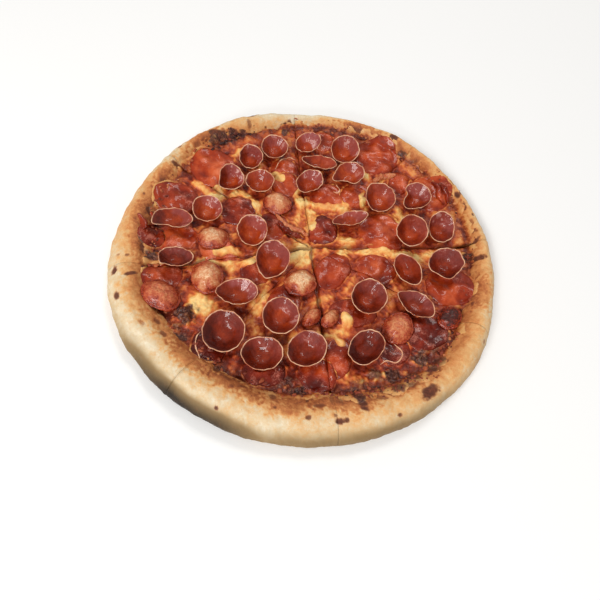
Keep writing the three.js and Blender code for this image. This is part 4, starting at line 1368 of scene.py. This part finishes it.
def slice_material():
    s = Shader("flat_pepperoni")
    edge, fold, shade = s.attributes("edge", "fold", "shade")
    wide, mottle, fine = s.noise(20, 2, 0.5, 0.3), s.noise(5, 3, 0.6, 0.3), s.noise(0.9, 4, 0.7, 0.0, 2.0)
    # fold makes the crests of folds paler and the hollows darker: partly oil in the hollows, partly painted
    # light and shade.
    tone = s.plus(0.36, s.times(shade, 0.32), s.times(fold, 0.1), (wide, 1.3), (mottle, 0.3), (fine, 0.2))
    colour = s.ramp(
        tone,
        (0.0, 84, 16, 6), (0.25, 126, 32, 10), (0.5, 168, 56, 20),
        (0.75, 206, 88, 42), (1.0, 234, 138, 98),
    )
    rim = s.step(s.plus(edge, (mottle, 0.9)), 0.75, 1.15)
    colour = s.mix(s.times(rim, 0.25), colour, rgb(118, 38, 18))
    # Painted highlight: pale pink patches laid on the slice as colour.
    painted_highlight = s.plus(s.noise(9, 3, 0.6, 0.6, 13.0), (fine, 1.1), s.times(fold, 0.1))
    colour = s.mix(s.times(s.step(painted_highlight, 0.58, 0.8), 0.42), colour, rgb(236, 150, 128))
    normal = s.bump((fine, 0.2), (mottle, 0.6))
    roughness = s.ramp(s.plus(0.5, (mottle, 1.0), (fine, 0.6)), (0.2, 0.2), (0.8, 0.48))
    return s.finish(
        0.06, Base_Color=colour, Roughness=roughness, Normal=normal, Specular_IOR_Level=0.15,
        Coat_Weight=0.35, Coat_Roughness=0.1)


# ---------------- studio
# Lights, all turned to the middle: name, azimuth, elevation, width, height, power, colour.
LIGHTS = [
    ("key", 235, 42, 0.9, 0.5, 24.5, (1, 0.99, 0.97)),
    ("window", 260, 28, 0.5, 0.25, 8.0, (1, 0.99, 0.97)),
    ("back", 72, 56, 0.9, 0.5, 11.0, (1, 0.98, 0.95)),
]
LIGHT_DISTANCE = 2.2
SKY_COLOUR = (1.0, 0.99, 0.97, 1)
SKY_STRENGTH = 0.44
FLOOR_HALF_SIDE = 6000
FLOOR_LEVEL = -0.05


def area_light(name, azimuth, elevation, size_x, size_y, power, colour):
    a, e = math.radians(azimuth), math.radians(elevation)
    at = Vector((math.cos(a) * math.cos(e), math.sin(a) * math.cos(e), math.sin(e))) * LIGHT_DISTANCE
    data = bpy.data.lights.new(name, "AREA")
    data.shape = "RECTANGLE"
    data.size, data.size_y = size_x, size_y
    data.energy = power
    data.color = colour
    light = bpy.data.objects.new(name, data)
    light.location = at
    light.rotation_euler = (-at).to_track_quat("-Z", "Y").to_euler()
    bpy.context.scene.collection.objects.link(light)


def make_studio():
    scene = bpy.context.scene
    scene.view_settings.view_transform = "Standard"
    world = bpy.data.worlds.new("studio")
    world.use_nodes = True
    background = world.node_tree.nodes["Background"]
    background.inputs["Color"].default_value = SKY_COLOUR
    background.inputs["Strength"].default_value = SKY_STRENGTH
    scene.world = world
    for light in LIGHTS:
        area_light(*light)
    s = Shader("floor")
    s.finish(Base_Color=rgb(255, 255, 255), Roughness=0.9, Specular_IOR_Level=0.1)
    corners = [(x * FLOOR_HALF_SIDE, y * FLOOR_HALF_SIDE, FLOOR_LEVEL)
               for x, y in ((-1, -1), (1, -1), (1, 1), (-1, 1))]
    build_mesh("floor", corners, [np.array([[0, 1, 2, 3]])], s.material)


# ---------------- the pizza
def lay_slices(top, material):
    """Lays the sunken and the flat slices on the cheese, one after another."""
    for number, shape in enumerate(SUNK_SLICES, 1):
        surface = top.lay(*shape[:5], SUNK_SEED + number, SUNK_BULGE)
        name = f"sunken_slice_{number:02d}"
        piece = slice_mesh(name, shape, surface, top.folds, SUNK_SEED + number, material)
        cut_to_slices(piece, top)
        place(piece, "pepperoni")
    for number, shape in FLATS.items():
        surface = top.lay(*shape[:5], FLAT_SEED + number, FLAT_BULGE)
        name = f"flat_slice_{number:02d}"
        piece = slice_mesh(name, shape, surface, top.folds, FLAT_SEED + number, material)
        place(piece, "pepperoni", f"pepperoni_flat_{number:02d}")


def make_pizza():
    crust, cheese = crust_material(), cheese_material()
    cups, domes, slices = cup_material(), dome_material(), slice_material()
    top = Top()
    lay_slices(top, slices)
    for ridge in CREAM_RIDGES:
        top.raise_ridge(*ridge)
    for number, shape in DOMES.items():
        top.shade_round(*shape[:5], DOME_SEED + number)
        dome(number, domes)
    for number, shape in CUPS.items():
        top.shade_round(*shape[:5], CUP_SEED + number)
        cup(number, cups)
    looks = {
        "pale": (cups, {"rim": 1, "level": 1, "shade": 0, "painted_sheen": 0}),
        "brown": (domes, {"middle": 0.8, "shade": 0}),
        "dark": (slices, {"edge": 1, "fold": 0, "shade": -0.5}),
        "red": (slices, {"edge": 0.5, "fold": 0, "shade": 0}),
    }
    for number, (look, radius, squash, path) in enumerate(LIPS, 1):
        material, attributes = looks[look]
        lip(f"{look}_strip_{number:02d}", path, radius, squash, top, material, attributes)
    crumbs(top, crumb_material())
    top.note_ridges()
    for index in range(SLICES):
        crust_slice(index, crust)
        cheese_slice(index, top, cheese)


make_camera()
make_studio()
make_pizza()
